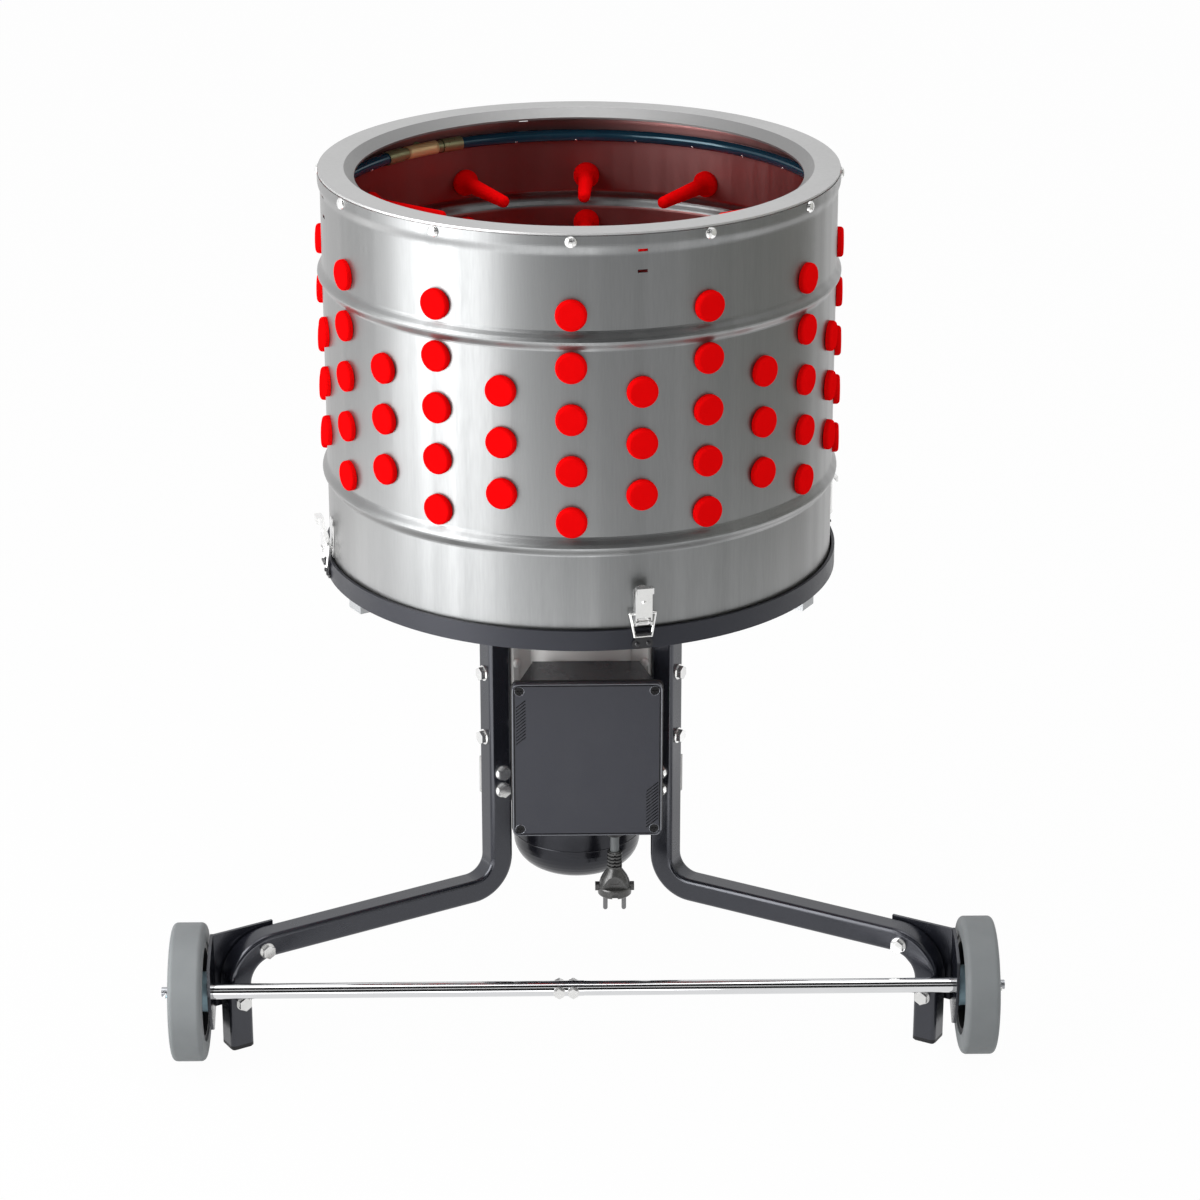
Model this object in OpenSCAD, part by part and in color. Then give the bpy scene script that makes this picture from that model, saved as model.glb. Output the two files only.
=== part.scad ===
// Drum poultry plucker: a steel drum lined with rubber fingers over a spinning
// finger plate, carried with its geared motor on a three-legged tube frame with two wheels.
// Millimetres, +Z up, floor at Z = 0, front (wheels and control box) towards -Y.

/* [Drum] */
// Outside diameter of the drum shell
drum_d = 508; // [420:1:620]
// Height of the drum shell
drum_h = 405; // [335:1:490]
// Wall of the drum shell
shell_t = 1.5; // [1:0.1:2.5]
// Distance from the shell's top edge to the top finger row
top_margin = 75.5; // [70:0.5:95]
// Distance from the lowest finger row to the shell's bottom edge
bottom_margin = 126.3; // [120:0.1:150]
// Turn of the drum on its base ring, in degrees
drum_turn = -2.5; // [-12:0.1:12]
// How far the rolled beads stand out of the wall
bead_out = 5; // [3:0.5:7]
// How far the top of the shell is flared out for the lid
flare_out = 2.5; // [2:0.1:4]
// Height of the flared top
flare_h = 14; // [12:0.5:18]
// Width of the flat top of the lid
lid_flat_w = 25.3; // [20:0.1:32]
// Inward reach of the lid's sloping lip
lid_lip_in = 10; // [6:0.5:14]
// Drop of the lid's sloping lip
lid_lip_drop = 8.5; // [5:0.5:12]
// Sheet thickness of the lid
lid_t = 2; // [1.5:0.1:3]
// Diameter of the spray hose
hose_d = 12.5; // [10:0.5:15]

/* [Fingers] */
// Columns of five fingers around the drum
columns = 12; // [10:1:14]
// Head diameter of a rubber finger
finger_head_d = 30; // [24:0.5:36]
// Head thickness of a rubber finger
finger_head_h = 6.5; // [4:0.5:9]
// Reach of a finger from the outer face of its wall to its tip
finger_reach = 95; // [78:1:114]
// Shaft diameter of a finger near its base
finger_base_d = 16; // [13:0.5:19]
// Shaft diameter of a finger near its tip
finger_tip_d = 12.5; // [10:0.5:15]
// Diameter of a finger's neck in its hole
finger_neck_d = 18.8; // [15:0.1:21]

/* [Finger plate] */
// Annular gap between the finger plate and the shell, where feathers leave
feather_gap = 20; // [14:0.5:26]
// Clearance between the tips of the plate's fingers and the lowest wall fingers
sweep_gap = 15; // [8:1:30]
// Thickness of the finger plate
plate_t = 3; // [2:0.5:5]
// Height of the finger plate's top above the underside of the base ring
plate_rise = 29.5; // [27:0.5:45]
// Drive shaft diameter
shaft_d = 20; // [18:0.5:22]

/* [Stand] */
// Height of the base ring's underside above the floor
ring_z = 450.5; // [375:0.5:541]
// Height of the base ring's band
ring_h = 20; // [16:0.5:26]
// Thickness of the base ring's band and ledge
ring_t = 3; // [2:0.5:5]
// Gap between the drum shell and the base ring's band
ring_gap = 2; // [1:0.1:3]
// Thickness of the support arms
arm_t = 8; // [6:0.5:12]
// Width of the support arms
arm_w = 24; // [20:1:30]
// Width of the square leg tube
tube_w = 25; // [20.8:0.1:30]
// Wall of the leg tube
tube_t = 2; // [1.5:0.1:3]
// Corner radius of the leg tube
tube_r = 4.5; // [3:0.5:6]
// Bend radius of the leg tube's centreline
bend_r = 32.5; // [28:0.5:40]
// Bend radius of the tube above each foot
foot_bend_r = 38; // [32:0.5:42]
// Distance of the leg posts' centreline from the drum axis
post_r = 101; // [98:0.5:115]
// Distance of the feet's centreline from the drum axis
foot_r = 403.7; // [340:0.1:480]
// Height of the legs' flat run, at its centreline
run_z = 106.4; // [95:0.1:125]
// Thickness of the foot caps' soles
cap_t = 5; // [3:0.5:8]

/* [Wheels] */
// Wheel diameter
wheel_d = 138; // [116:1:145]
// Wheel width
wheel_w = 33; // [28:1:40]
// Clearance of the wheels above the floor while the feet stand on it
wheel_lift = 4; // [2:0.5:10]
// Diameter of the axle rod
axle_d = 12; // [10:0.5:14]
// Outside diameter of the axle's chromed spacer tubes
axle_tube_d = 15.6; // [14.6:0.1:18.8]
// Distance between the wheel brackets' inner faces
axle_span = 742; // [730:1:760]
// Gap between the axle tubes and the front corners of the feet
axle_gap = 2; // [1:0.5:6]
// Sheet thickness of the wheel brackets
bracket_t = 3; // [2:0.5:5]

/* [Drive] */
// Motor diameter
motor_d = 128; // [110:1:134]
// Sideways offset of the motor from the drum axis
motor_x = -4; // [-6:0.5:0]
// Height of the motor's lowest point below the base ring's underside
motor_drop = 345; // [330:1:360]
// Gear housing diameter
gear_d = 138; // [134:1:144]
// Module of the reduction gears
gear_module = 1.2; // [1.1:0.05:1.25]
// Teeth of the motor pinion
motor_pinion_teeth = 20; // [18:1:22]
// Teeth of the large layshaft gear
lay_gear_teeth = 40; // [38:1:42]
// Teeth of the small layshaft pinion
lay_pinion_teeth = 18; // [17:1:20]
// Frame bolt diameter
bolt_d = 8; // [6:1:10]

/* [Control box] */
// Width of the control box's cover
box_w = 150; // [130:1:160]
// Height of the control box's cover
box_h = 166; // [140:1:180]
// Thickness of the control box's cover
box_cover_t = 8; // [6:0.5:12]
// Depth of the control box's body
box_depth = 58; // [48:1:70]
// Wall of the control box
box_wall = 3; // [2:0.5:4]
// Sideways offset of the control box from the drum axis
box_x = 5; // [-10:1:10]
// Distance of the control box's cover top below the base ring's underside
box_drop = 85.5; // [80:0.5:100]
// Travel of the start and stop buttons
button_travel = 3; // [2:0.5:4]
// Diameter of the power cord
cord_d = 9; // [7:0.5:9.5]

/* [Latches] */
// Number of toggle latches around the base
latches = 4; // [2:1:4]
// Diameter of a latch bail's wire
wire_d = 2.6; // [2:0.1:3]
// Width of a latch lever
lever_w = 16.5; // [14:0.5:19]

/* [Clearances] */
// Radial running clearance of shafts, wheels and pins
run_fit = 0.05; // [0.02:0.01:0.1]
// Small assembly clearance between fixed pieces
seat = 0.1; // [0.05:0.05:0.3]
// Clearance between pieces that move past each other
gap = 0.3; // [0.25:0.05:0.6]
// Radial clearance of bolts in their holes
bolt_fit = 0.2; // [0.1:0.05:0.5]

/* [Hidden] */

// Smoothness of small, middle and large round forms
fn_small = 24;
fn_mid = 48;
fn_big = 144;

// Drum
drum_r = drum_d / 2;
drum_in_r = drum_r - shell_t;
shell_z = ring_z + ring_t;
shell_top = shell_z + drum_h;
rows = 5;
mid_rows = 3;
row_pitch = (drum_h - top_margin - bottom_margin) / (rows - 1);
top_row_z = shell_top - top_margin;
column_step = 360 / columns;
bead_w = row_pitch - finger_head_d - 2 * 0.4;
upper_bead_z = top_row_z - row_pitch / 2;
lower_bead_z = top_row_z - row_pitch * (rows - 0.5);
flare_ramp = 12;
flare_r = drum_r + flare_out;
lid_r = flare_r - 0.8;
lid_z = shell_top + 0.5;
lid_skirt_r = flare_r - shell_t - seat;
lid_skirt_h = flare_h - 2;
lid_screw_d = 6;
lid_screw_z = shell_top - 5.5;
slot_w = 9.5;
slot_h = 3;
slot_z = [shell_top - 15.5, shell_top - 35.5];
neck_hole_r = finger_neck_d / 2 + bolt_fit;

// Spray hose and water inlet
ferrule_t = 0.9;
hose_r = drum_in_r - hose_d / 2 - ferrule_t - gap;
hose_z = shell_top - 31;
coupling_turn = -139;
coupling_half = 11.7;
ferrule_step = 5.5;
inlet_d = 14;
inlet_tail_r = 6.5;

// Base ring, arms and latches
ring_in_r = drum_r + ring_gap;
ring_r = ring_in_r + ring_t;
ledge_r = drum_in_r - 5;
arm_z = ring_z - arm_t;
spider_hub_r = 80;
latch_turn = drum_turn + column_step / 2;
latch_step = 360 / latches;
sheet = 1.5;
pin_d = 3;
hinge_u = 7.5;
hinge_z = ring_z + 28.5;
bail_u = hinge_u - 1.2;
bail_z = hinge_z + 8;
bail_low_u = ring_gap + ring_t + sheet + wire_d / 2 + 0.5;
bail_low_z = hinge_z - 14.5;
bail_half = lever_w / 2 + wire_d / 2 + 3;
ear_out = lever_w / 2 - sheet - gap;
lever_h = 37;

// Legs and their bolts, in leg coordinates: x from the drum axis, y towards the front side
leg_top = arm_z;
post_in = post_r - tube_w / 2;
post_out = post_r + tube_w / 2;
pad_t = 6;
pad_half = tube_w / 2 + 4;
pad_in = post_in - pad_t;
pad_low = ring_z - 250.5;
pad_high = ring_z - 30;
bolt_hole = bolt_d + 2 * bolt_fit;
nut_h = 0.8 * bolt_d;
head_h = 0.65 * bolt_d;
hex_d = 1.8 * bolt_d;
washer_d = 2 * bolt_d;
washer_h = 1.6;
radial_bolt_z = [ring_z - 106, ring_z - 176.5];
cross_bolt_z = [ring_z - 215, ring_z - 234];

// Wheels and axle
wheel_r = wheel_d / 2;
axle_r = axle_d / 2;
axle_z = wheel_r + wheel_lift;
foot_corner = foot_r * sin(30) + (tube_w / 2 - tube_r) * (cos(30) + sin(30)) + tube_r;
axle_y = -(foot_corner + axle_gap + axle_tube_d / 2);
bracket_out = axle_span / 2 + bracket_t;
hub_boss_r = 20;
hub_flange_r = 20.5;
wheel_x = bracket_out + 2.8 + wheel_w / 2;
hub_half = wheel_x - bracket_out - gap;
tyre_in_r = 0.72 * wheel_r;
washer_x = wheel_x + hub_half + gap;
axle_half = washer_x + 9;

// Plan reach of the whole object about the drum axis; the origin is under its middle
front_reach = -axle_y + wheel_r;
rear_reach = foot_r + tube_w / 2;
origin_y = (front_reach - rear_reach) / 2;

// Drive train, stacked down from the support spider
motor_r = motor_d / 2;
gear_r = gear_d / 2;
gear_wall = 4;
gear_low = ring_z - 142.5;
flange_t = 8;
motor_top = gear_low - flange_t;
motor_low = ring_z - motor_drop;
motor_seam = motor_low + 41;
motor_bell_r = motor_r + 3;
motor_bell_h = 46;
motor_wall = 4;
collar_z = ring_z - 245;
collar_h = 40;
deck_z = ring_z - 78;
deck_t = 10;
bearing_r = 23.5;
bearing_h = 14;
bearing_z = [deck_z + 6, ring_z - 36];
boss_r = bearing_r + 4.5;
boss_top = ring_z - 14;
centre_distance = gear_module * (motor_pinion_teeth + lay_gear_teeth) / 2;
lay_at = [motor_x / 2, sqrt(centre_distance * centre_distance - motor_x * motor_x / 4), 0];
out_turn = atan2(lay_at[1], lay_at[0]);
motor_turn = atan2(lay_at[1], lay_at[0] - motor_x);
output_teeth = motor_pinion_teeth + lay_gear_teeth - lay_pinion_teeth;
first_mesh_z = gear_low + 7;
second_mesh_z = gear_low + 37;
gear_face = 18;
lay_shaft_d = 12;
rotor_shaft_d = 14;
rotor_r = 34;
air_gap = 0.6;
core_z = motor_seam + 31;
core_h = 100;
motor_bearing_r = 17.5;
motor_bearing_h = 11;

// Finger plate
plate_z = ring_z + plate_rise;
plate_r = drum_in_r - feather_gap;
low_row_z = top_row_z - (rows - 1) * row_pitch;
plate_finger_reach = low_row_z - finger_base_d / 2 - sweep_gap - (plate_z - plate_t);
hub_r = 45;
hub_h = 10;
thread_d = 16;
plate_rings = [0.27, 0.485, 0.69, 0.885];
plate_counts = [6, 9, 12, 15];

// Control box
box_back = -(gear_r + 2);
box_front = box_back - box_depth;
box_top = ring_z - box_drop;
box_low = box_top - box_h;
body_top = box_top - 2.5;
body_low = box_low + 3.5;
front_half = box_w / 2 - 4.5;
back_half = front_half - 15.5;
side_slope = atan((front_half - back_half) / box_depth);
screw_inset = 7.5;
button_r = 8;
button_cap_r = 11;
button_z = [box_top - 55, box_top - 95];
box_bolt_z = [box_top - 20, box_top - 140];
cord_x = 33.5;
cord_y = box_front + 26;
gland_low = box_low - 15;
plug_top = gland_low - 18;
plug_face = plug_top - 48;
plug_bore = 36;
cord_side_count = 12;
// Route of the power cord from the gland's mouth into the plug, about its own exit
cord_route = [[0, 0, 0], [0, 0, -18], [0, 0, -36], [0, 0, -54]];

// Puts a piece drawn about the drum axis into the object's own frame
module placed() translate([0, origin_y, 0]) children();

// Turns a piece drawn along +X to a drum angle counted from the front towards +X
module at_angle(a) rotate([0, 0, a - 90]) children();

// Puts a piece in leg coordinates on the left (0), right (1) or rear (2) leg
module at_leg(k) {
    if (k == 0) rotate([0, 0, 210]) children();
    if (k == 1) mirror([1, 0, 0]) rotate([0, 0, 210]) children();
    if (k == 2) rotate([0, 0, 90]) children();
}

module rounded_square(w, r) {
    square([w, w - 2 * r], center = true);
    square([w - 2 * r, w], center = true);
    for (x = [-1, 1], y = [-1, 1]) translate([x, y] * (w / 2 - r)) circle(r, $fn = fn_small);
}

module rounded_rect(w, h, r) {
    square([w, h - 2 * r], center = true);
    square([w - 2 * r, h], center = true);
    for (x = [-1, 1], y = [-1, 1]) translate([x * (w / 2 - r), y * (h / 2 - r)]) circle(r, $fn = fn_small);
}

module ring(r_out, r_in, h, fn = fn_big) difference() {
    cylinder(r = r_out, h = h, $fn = fn);
    translate([0, 0, -1]) cylinder(r = r_in, h = h + 2, $fn = fn);
}

// Hex bolt along +X: the head's seat at x = 0, the shank towards -X
module bolt(d, reach) {
    rotate([0, 90, 0]) cylinder(d = 2 * d, h = washer_h, $fn = fn_small);
    translate([washer_h, 0, 0]) rotate([0, 90, 0]) cylinder(d = 1.8 * d, h = 0.65 * d, $fn = 6);
    translate([-reach, 0, 0]) rotate([0, 90, 0]) cylinder(d = d, h = reach + washer_h, $fn = fn_small);
}

// Hex nut along +X, its seat at x = 0, its body towards -X
module nut(d) translate([-0.8 * d, 0, 0]) rotate([0, 90, 0]) difference() {
    cylinder(d = 1.8 * d, h = 0.8 * d, $fn = 6);
    translate([0, 0, -1]) cylinder(r = d / 2 + seat / 2, h = 0.8 * d + 2, $fn = fn_small);
}

module hole_x(d, x0, x1) translate([x0, 0, 0]) rotate([0, 90, 0]) cylinder(d = d, h = x1 - x0,
    $fn = fn_small);
module hole_y(d, y0, y1) translate([0, y0, 0]) rotate([-90, 0, 0]) cylinder(d = d, h = y1 - y0,
    $fn = fn_small);

// Leg tubes

module tube_section() difference() {
    rounded_square(tube_w, tube_r);
    rounded_square(tube_w - 2 * tube_t, tube_r - tube_t);
}

bracket_bolts_at = [[foot_r - 29.7, run_z - 2.9], [foot_r - 1.5, axle_z - 20.5]];

module leg_tube() difference() {
    union() {
        translate([post_r, 0, run_z + bend_r]) linear_extrude(leg_top - run_z - bend_r) tube_section();
        translate([post_r + bend_r, 0, run_z + bend_r]) rotate([90, 0, 0]) rotate([0, 0, 180])
            rotate_extrude(angle = 90, $fn = fn_mid) translate([bend_r, 0]) tube_section();
        translate([post_r + bend_r, 0, run_z]) rotate([0, 90, 0])
            linear_extrude(foot_r - post_r - bend_r - foot_bend_r) tube_section();
        translate([foot_r - foot_bend_r, 0, run_z - foot_bend_r]) rotate([90, 0, 0])
            rotate_extrude(angle = 90, $fn = fn_mid) translate([foot_bend_r, 0]) tube_section();
        translate([foot_r, 0, cap_t]) linear_extrude(run_z - foot_bend_r - cap_t) tube_section();
    }
    for (z = radial_bolt_z) translate([0, 0, z]) hole_x(bolt_hole, post_in - 1, post_out + 1);
    for (z = cross_bolt_z) translate([post_r, 0, z]) hole_y(bolt_hole, -tube_w / 2 - 1, tube_w / 2 + 1);
}

module wheel_leg_tube() difference() {
    leg_tube();
    for (p = bracket_bolts_at) translate([p[0], 0, p[1]]) hole_y(bolt_hole, -tube_w / 2 - 1, tube_w / 2 + 1);
}

module left_leg() color([0.17, 0.17, 0.19]) placed() at_leg(0) wheel_leg_tube();
module right_leg() color([0.17, 0.17, 0.19]) placed() at_leg(1) wheel_leg_tube();
module rear_leg() color([0.17, 0.17, 0.19]) placed() at_leg(2) leg_tube();

module foot_cap() {
    plug_w = tube_w - 2 * tube_t - 2 * seat;
    translate([foot_r, 0, 0]) {
        translate([0, 0, 1.5]) linear_extrude(cap_t - 1.5) rounded_square(tube_w, tube_r);
        linear_extrude(1.5) rounded_square(tube_w - 3, tube_r - 1.5);
        translate([0, 0, cap_t]) linear_extrude(14) rounded_square(plug_w, tube_r - tube_t - seat);
    }
}

module foot_caps() color([0.1, 0.1, 0.1]) placed() for (k = [0 : 2]) at_leg(k) foot_cap();

// Wheel brackets, axle and wheels

// Outline of the plate on the back of a leg: distance along the leg, height
bracket_top = run_z + tube_w / 2 + 2.5;
plate_end = (axle_span / 2 - (tube_w / 2 + bracket_t) * sin(30)) / cos(30);
bracket_plate = [[foot_r - 49, bracket_top], [plate_end + 1.5, bracket_top], [plate_end + 1.5, axle_z - 31],
    [foot_r - 14, axle_z - 31], [foot_r - 16, axle_z - 12], [foot_r - 49, run_z - 14]];
flange_back = -plate_end * sin(30) + (tube_w / 2 + bracket_t) * cos(30);
// Outline of the flange beside the wheel: distance towards the rear, height
bracket_flange = [[flange_back, bracket_top], [axle_y + 8, bracket_top - 2], [axle_y - 20, bracket_top - 14],
    [axle_y - 23, axle_z + 6], [axle_y - 19, axle_z - 14], [axle_y - 6, axle_z - 40],
    [axle_y + 6, axle_z - 46], [flange_back, axle_z - 31]];

module wheel_bracket() {
    difference() {
        union() {
            rotate([0, 0, 210]) translate([0, -tube_w / 2, 0]) rotate([90, 0, 0])
                linear_extrude(bracket_t) polygon(bracket_plate);
            translate([-axle_span / 2, 0, 0]) rotate([90, 0, -90]) mirror([1, 0, 0])
                linear_extrude(bracket_t) polygon(bracket_flange);
        }
        translate([-bracket_out - 1, axle_y, axle_z]) hole_x(axle_d + 2 * bolt_fit, 0, bracket_t + 2);
        rotate([0, 0, 210]) for (p = bracket_bolts_at) translate([p[0], 0, p[1]])
            hole_y(bolt_hole, -tube_w / 2 - bracket_t - 1, 0);
    }
}

module wheel_brackets() color([0.12, 0.12, 0.13]) placed() for (m = [0, 1]) mirror([m, 0, 0])
    wheel_bracket();

module bracket_bolts() color([0.8, 0.8, 0.8]) placed() for (k = [0, 1]) at_leg(k)
    for (p = bracket_bolts_at) translate([p[0], 0, p[1]]) {
        translate([0, tube_w / 2, 0]) rotate([0, 0, 90]) bolt(bolt_d, tube_w + bracket_t + nut_h + 2);
        translate([0, -tube_w / 2 - bracket_t, 0]) rotate([0, 0, 90]) nut(bolt_d);
    }

axle_bolt_d = 6;
axle_bolt_x = [-10.6, -24.6];

module axle_tube(d, x0, x1) translate([x0, axle_y, axle_z]) rotate([0, 90, 0])
    ring(d / 2, axle_r + bolt_fit, x1 - x0, fn_mid);

module left_axle_tube() color([0.85, 0.85, 0.87]) placed() difference() {
    axle_tube(axle_tube_d, -axle_span / 2, 0);
    for (x = axle_bolt_x) translate([x, axle_y, axle_z]) hole_y(axle_bolt_d + 2 * bolt_fit, -20, 20);
}

module right_axle_tube() color([0.85, 0.85, 0.87]) placed() axle_tube(axle_tube_d - 0.6, 0, axle_span / 2);

module axle_rod() color([0.7, 0.7, 0.72]) placed() difference() {
    translate([0, axle_y, axle_z]) rotate([0, 90, 0]) {
        translate([0, 0, -washer_x]) cylinder(r = axle_r, h = 2 * washer_x, $fn = fn_mid);
        translate([0, 0, -axle_half]) cylinder(r = axle_r - 1.2, h = 2 * axle_half, $fn = fn_mid);
    }
    for (x = axle_bolt_x) translate([x, axle_y, axle_z]) hole_y(axle_bolt_d + 2 * bolt_fit, -20, 20);
    for (m = [-1, 1]) translate([m * (axle_half - 4.5), axle_y, axle_z]) hole_y(2.4, -20, 20);
}

// Cross bolts of the axle, and the washer and split pin that hold each wheel
module axle_fasteners() color([0.8, 0.8, 0.8]) placed() {
    for (x = axle_bolt_x) translate([x, axle_y, axle_z]) rotate([0, 0, -90]) {
        translate([axle_tube_d / 2, 0, 0]) bolt(axle_bolt_d, axle_tube_d + 7);
        translate([-axle_tube_d / 2, 0, 0]) nut(axle_bolt_d);
    }
    for (m = [0, 1]) mirror([m, 0, 0]) {
        translate([washer_x, axle_y, axle_z]) rotate([0, 90, 0]) ring(9, axle_r - 1.2 + seat, 2, fn_mid);
        translate([axle_half - 4.5, axle_y, axle_z]) {
            hole_y(2, -10, 9);
            translate([0, -10, 0]) sphere(2, $fn = fn_small);
        }
    }
}

module tyre() difference() {
    shoulder = 5;
    rotate([0, 90, 0]) translate([0, 0, -wheel_w / 2]) rotate_extrude($fn = fn_big) difference() {
        union() {
            translate([tyre_in_r, 0]) square([wheel_r - shoulder - tyre_in_r, wheel_w]);
            translate([tyre_in_r, shoulder]) square([wheel_r - tyre_in_r, wheel_w - 2 * shoulder]);
            for (y = [shoulder, wheel_w - shoulder]) translate([wheel_r - shoulder, y]) circle(shoulder,
                $fn = fn_mid);
        }
    }
}

module wheel_hub() rotate([0, 90, 0]) {
    web = 10;
    rotate_extrude($fn = fn_big) difference() {
        union() {
            translate([tyre_in_r - 6, -wheel_w / 2 + 1.5]) square([6 - seat, wheel_w - 3]);
            translate([hub_boss_r - 2, -web / 2]) square([tyre_in_r - hub_boss_r - 2, web]);
            translate([axle_r + run_fit, -hub_half + 2]) square([hub_boss_r - axle_r - run_fit,
                2 * hub_half - 4]);
            for (y = [-hub_half, hub_half - 2]) translate([axle_r + run_fit, y])
                square([hub_flange_r - axle_r - run_fit, 2]);
        }
    }
}

module at_wheel(side) translate([side * wheel_x, axle_y, axle_z]) children();

module left_tyre() color([0.6, 0.62, 0.62]) placed() at_wheel(-1) tyre();
module right_tyre() color([0.6, 0.62, 0.62]) placed() at_wheel(1) tyre();
module left_hub() color([0.35, 0.37, 0.38]) placed() at_wheel(-1) wheel_hub();
module right_hub() color([0.35, 0.37, 0.38]) placed() at_wheel(1) wheel_hub();

// Frame fasteners: two bolts through each post and pad, two across each post and lug

module frame_bolts() color([0.8, 0.8, 0.8]) placed() for (k = [0 : 2]) at_leg(k) {
    for (z = radial_bolt_z) translate([post_out, 0, z]) bolt(bolt_d, tube_w + pad_t + nut_h + 2);
    for (z = cross_bolt_z) translate([post_r, tube_w / 2, z]) rotate([0, 0, 90])
        bolt(bolt_d, tube_w + 4 + nut_h + 2);
}

module frame_nuts() color([0.8, 0.8, 0.8]) placed() for (k = [0 : 2]) at_leg(k) {
    for (z = radial_bolt_z) translate([pad_in, 0, z]) nut(bolt_d);
    for (z = cross_bolt_z) translate([post_r, -tube_w / 2 - 4, z]) rotate([0, 0, 90]) nut(bolt_d);
}

// Base ring and support spider

module base_ring() color([0.25, 0.26, 0.29]) placed() translate([0, 0, ring_z]) difference() {
    cylinder(r = ring_r, h = ring_h, $fn = fn_big);
    translate([0, 0, ring_t]) cylinder(r = ring_in_r, h = ring_h, $fn = fn_big);
    translate([0, 0, -1]) cylinder(r = ledge_r, h = ring_h, $fn = fn_big);
}

spider_bolts = 6;
spider_bolt_r = (gear_r + spider_hub_r) / 2;

module support_spider() color([0.55, 0.56, 0.57]) placed() difference() {
    union() {
        translate([0, 0, arm_z]) cylinder(r = spider_hub_r, h = arm_t, $fn = fn_big);
        for (k = [0 : 2]) at_leg(k) translate([0, -arm_w / 2, arm_z]) cube([ring_r - 0.5, arm_w, arm_t]);
    }
    translate([0, 0, arm_z - 1]) cylinder(r = boss_r + 1, h = arm_t + 2, $fn = fn_mid);
    for (i = [0 : spider_bolts - 1]) rotate([0, 0, i * 60]) translate([spider_bolt_r, 0, arm_z - 1])
        cylinder(d = 6.4, h = arm_t + 2, $fn = fn_small);
}

// Gear housing with its three mounting pads and the collar round the motor

module housing_pad() difference() {
    union() {
        translate([pad_in, -pad_half, pad_low]) cube([pad_t, 2 * pad_half, pad_high - pad_low]);
        translate([pad_in, -pad_half, collar_z]) cube([post_out - pad_in - 2, 4, collar_h]);
        for (y = [-pad_half + 2, pad_half - 7]) {
            translate([gear_r - gear_wall + 1, y, gear_low + 2])
                cube([pad_in - gear_r + gear_wall, 5, pad_high - gear_low - 4]);
            translate([motor_r - 12, y, collar_z + 2]) cube([pad_in - motor_r + 12.5, 5, collar_h - 4]);
        }
    }
    for (z = radial_bolt_z) translate([0, 0, z]) hole_x(bolt_hole, pad_in - 1, post_in + 1);
    for (z = cross_bolt_z) translate([post_r, 0, z]) hole_y(bolt_hole, -pad_half - 1, -tube_w / 2 + 1);
}

module housing_box_boss(z) translate([box_x, box_back, z]) difference() {
    translate([-14, 0, -10]) cube([28, gear_r + box_back + 8, 20]);
    hole_y(5.2, -1, 8);
}

module gear_housing() color([0.78, 0.78, 0.77]) placed() difference() {
    union() {
        translate([0, 0, gear_low]) cylinder(r = gear_r, h = arm_z - gear_low, $fn = fn_big);
        translate([0, 0, arm_z - 8]) cylinder(r = spider_hub_r - 2, h = 8, $fn = fn_big);
        translate([motor_x, 0, collar_z]) cylinder(r = motor_r + 6, h = collar_h, $fn = fn_big);
        for (k = [0 : 2]) at_leg(k) housing_pad();
        housing_box_boss(box_bolt_z[0]);
        housing_box_boss(box_bolt_z[1]);
    }
    translate([0, 0, gear_low - 1]) cylinder(r = gear_r - gear_wall, h = deck_z - gear_low + 1,
        $fn = fn_big);
    translate([0, 0, deck_z + deck_t]) difference() {
        cylinder(r = gear_r - gear_wall, h = arm_z, $fn = fn_big);
        translate([0, 0, -1]) cylinder(r = boss_r, h = boss_top - deck_z - deck_t + 1, $fn = fn_mid);
    }
    translate([0, 0, deck_z - 1]) cylinder(r = shaft_d / 2 + 2, h = boss_top - deck_z + 2, $fn = fn_mid);
    for (z = bearing_z) translate([0, 0, z]) cylinder(r = bearing_r + seat, h = bearing_h + seat,
        $fn = fn_mid);
    translate([0, 0, bearing_z[0]]) cylinder(r = bearing_r - 3, h = boss_top - bearing_z[0] + 1,
        $fn = fn_mid);
    translate([0, 0, boss_top - 8]) cylinder(r = bearing_r - 2, h = 9, $fn = fn_mid);
    translate(lay_at + [0, 0, deck_z - 1])
        cylinder(r = lay_shaft_d / 2 + 3 + seat, h = 8, $fn = fn_mid);
    translate([motor_x, 0, collar_z - 1]) cylinder(r = motor_r + seat, h = collar_h + 2, $fn = fn_big);
    for (i = [0 : spider_bolts - 1]) rotate([0, 0, i * 60]) translate([spider_bolt_r, 0, arm_z - 9])
        cylinder(d = 6.4, h = 10, $fn = fn_small);
}

// Plate between the gear housing and the motor; it carries a motor bearing and the layshaft's foot
module motor_flange() color([0.72, 0.72, 0.72]) placed() difference() {
    union() {
        translate([motor_x, 0, motor_top]) cylinder(r = motor_r, h = flange_t, $fn = fn_big);
        translate(lay_at + [0, 0, gear_low - 1])
            cylinder(r = lay_shaft_d / 2 + 5, h = 5, $fn = fn_mid);
    }
    translate([motor_x, 0, motor_top - 1]) {
        cylinder(r = rotor_shaft_d / 2 + 2, h = flange_t + 2, $fn = fn_mid);
        cylinder(r = motor_bearing_r + seat, h = flange_t - 1, $fn = fn_mid);
    }
    translate(lay_at + [0, 0, gear_low - 4])
        cylinder(r = lay_shaft_d / 2 + 3 + seat, h = 9, $fn = fn_mid);
}

module motor_housing() color([0.1, 0.1, 0.11]) placed() translate([motor_x, 0, motor_seam]) difference() {
    rotate_extrude($fn = fn_big) polygon([[motor_r - 10, 0], [motor_bell_r, 0], [motor_bell_r, motor_bell_h],
        [motor_r, motor_bell_h + 6], [motor_r, motor_top - motor_seam], [motor_r - 10,
            motor_top - motor_seam]]);
    translate([0, 0, -1]) cylinder(r = motor_r - motor_wall, h = motor_top - motor_seam + 2, $fn = fn_big);
}

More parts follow.
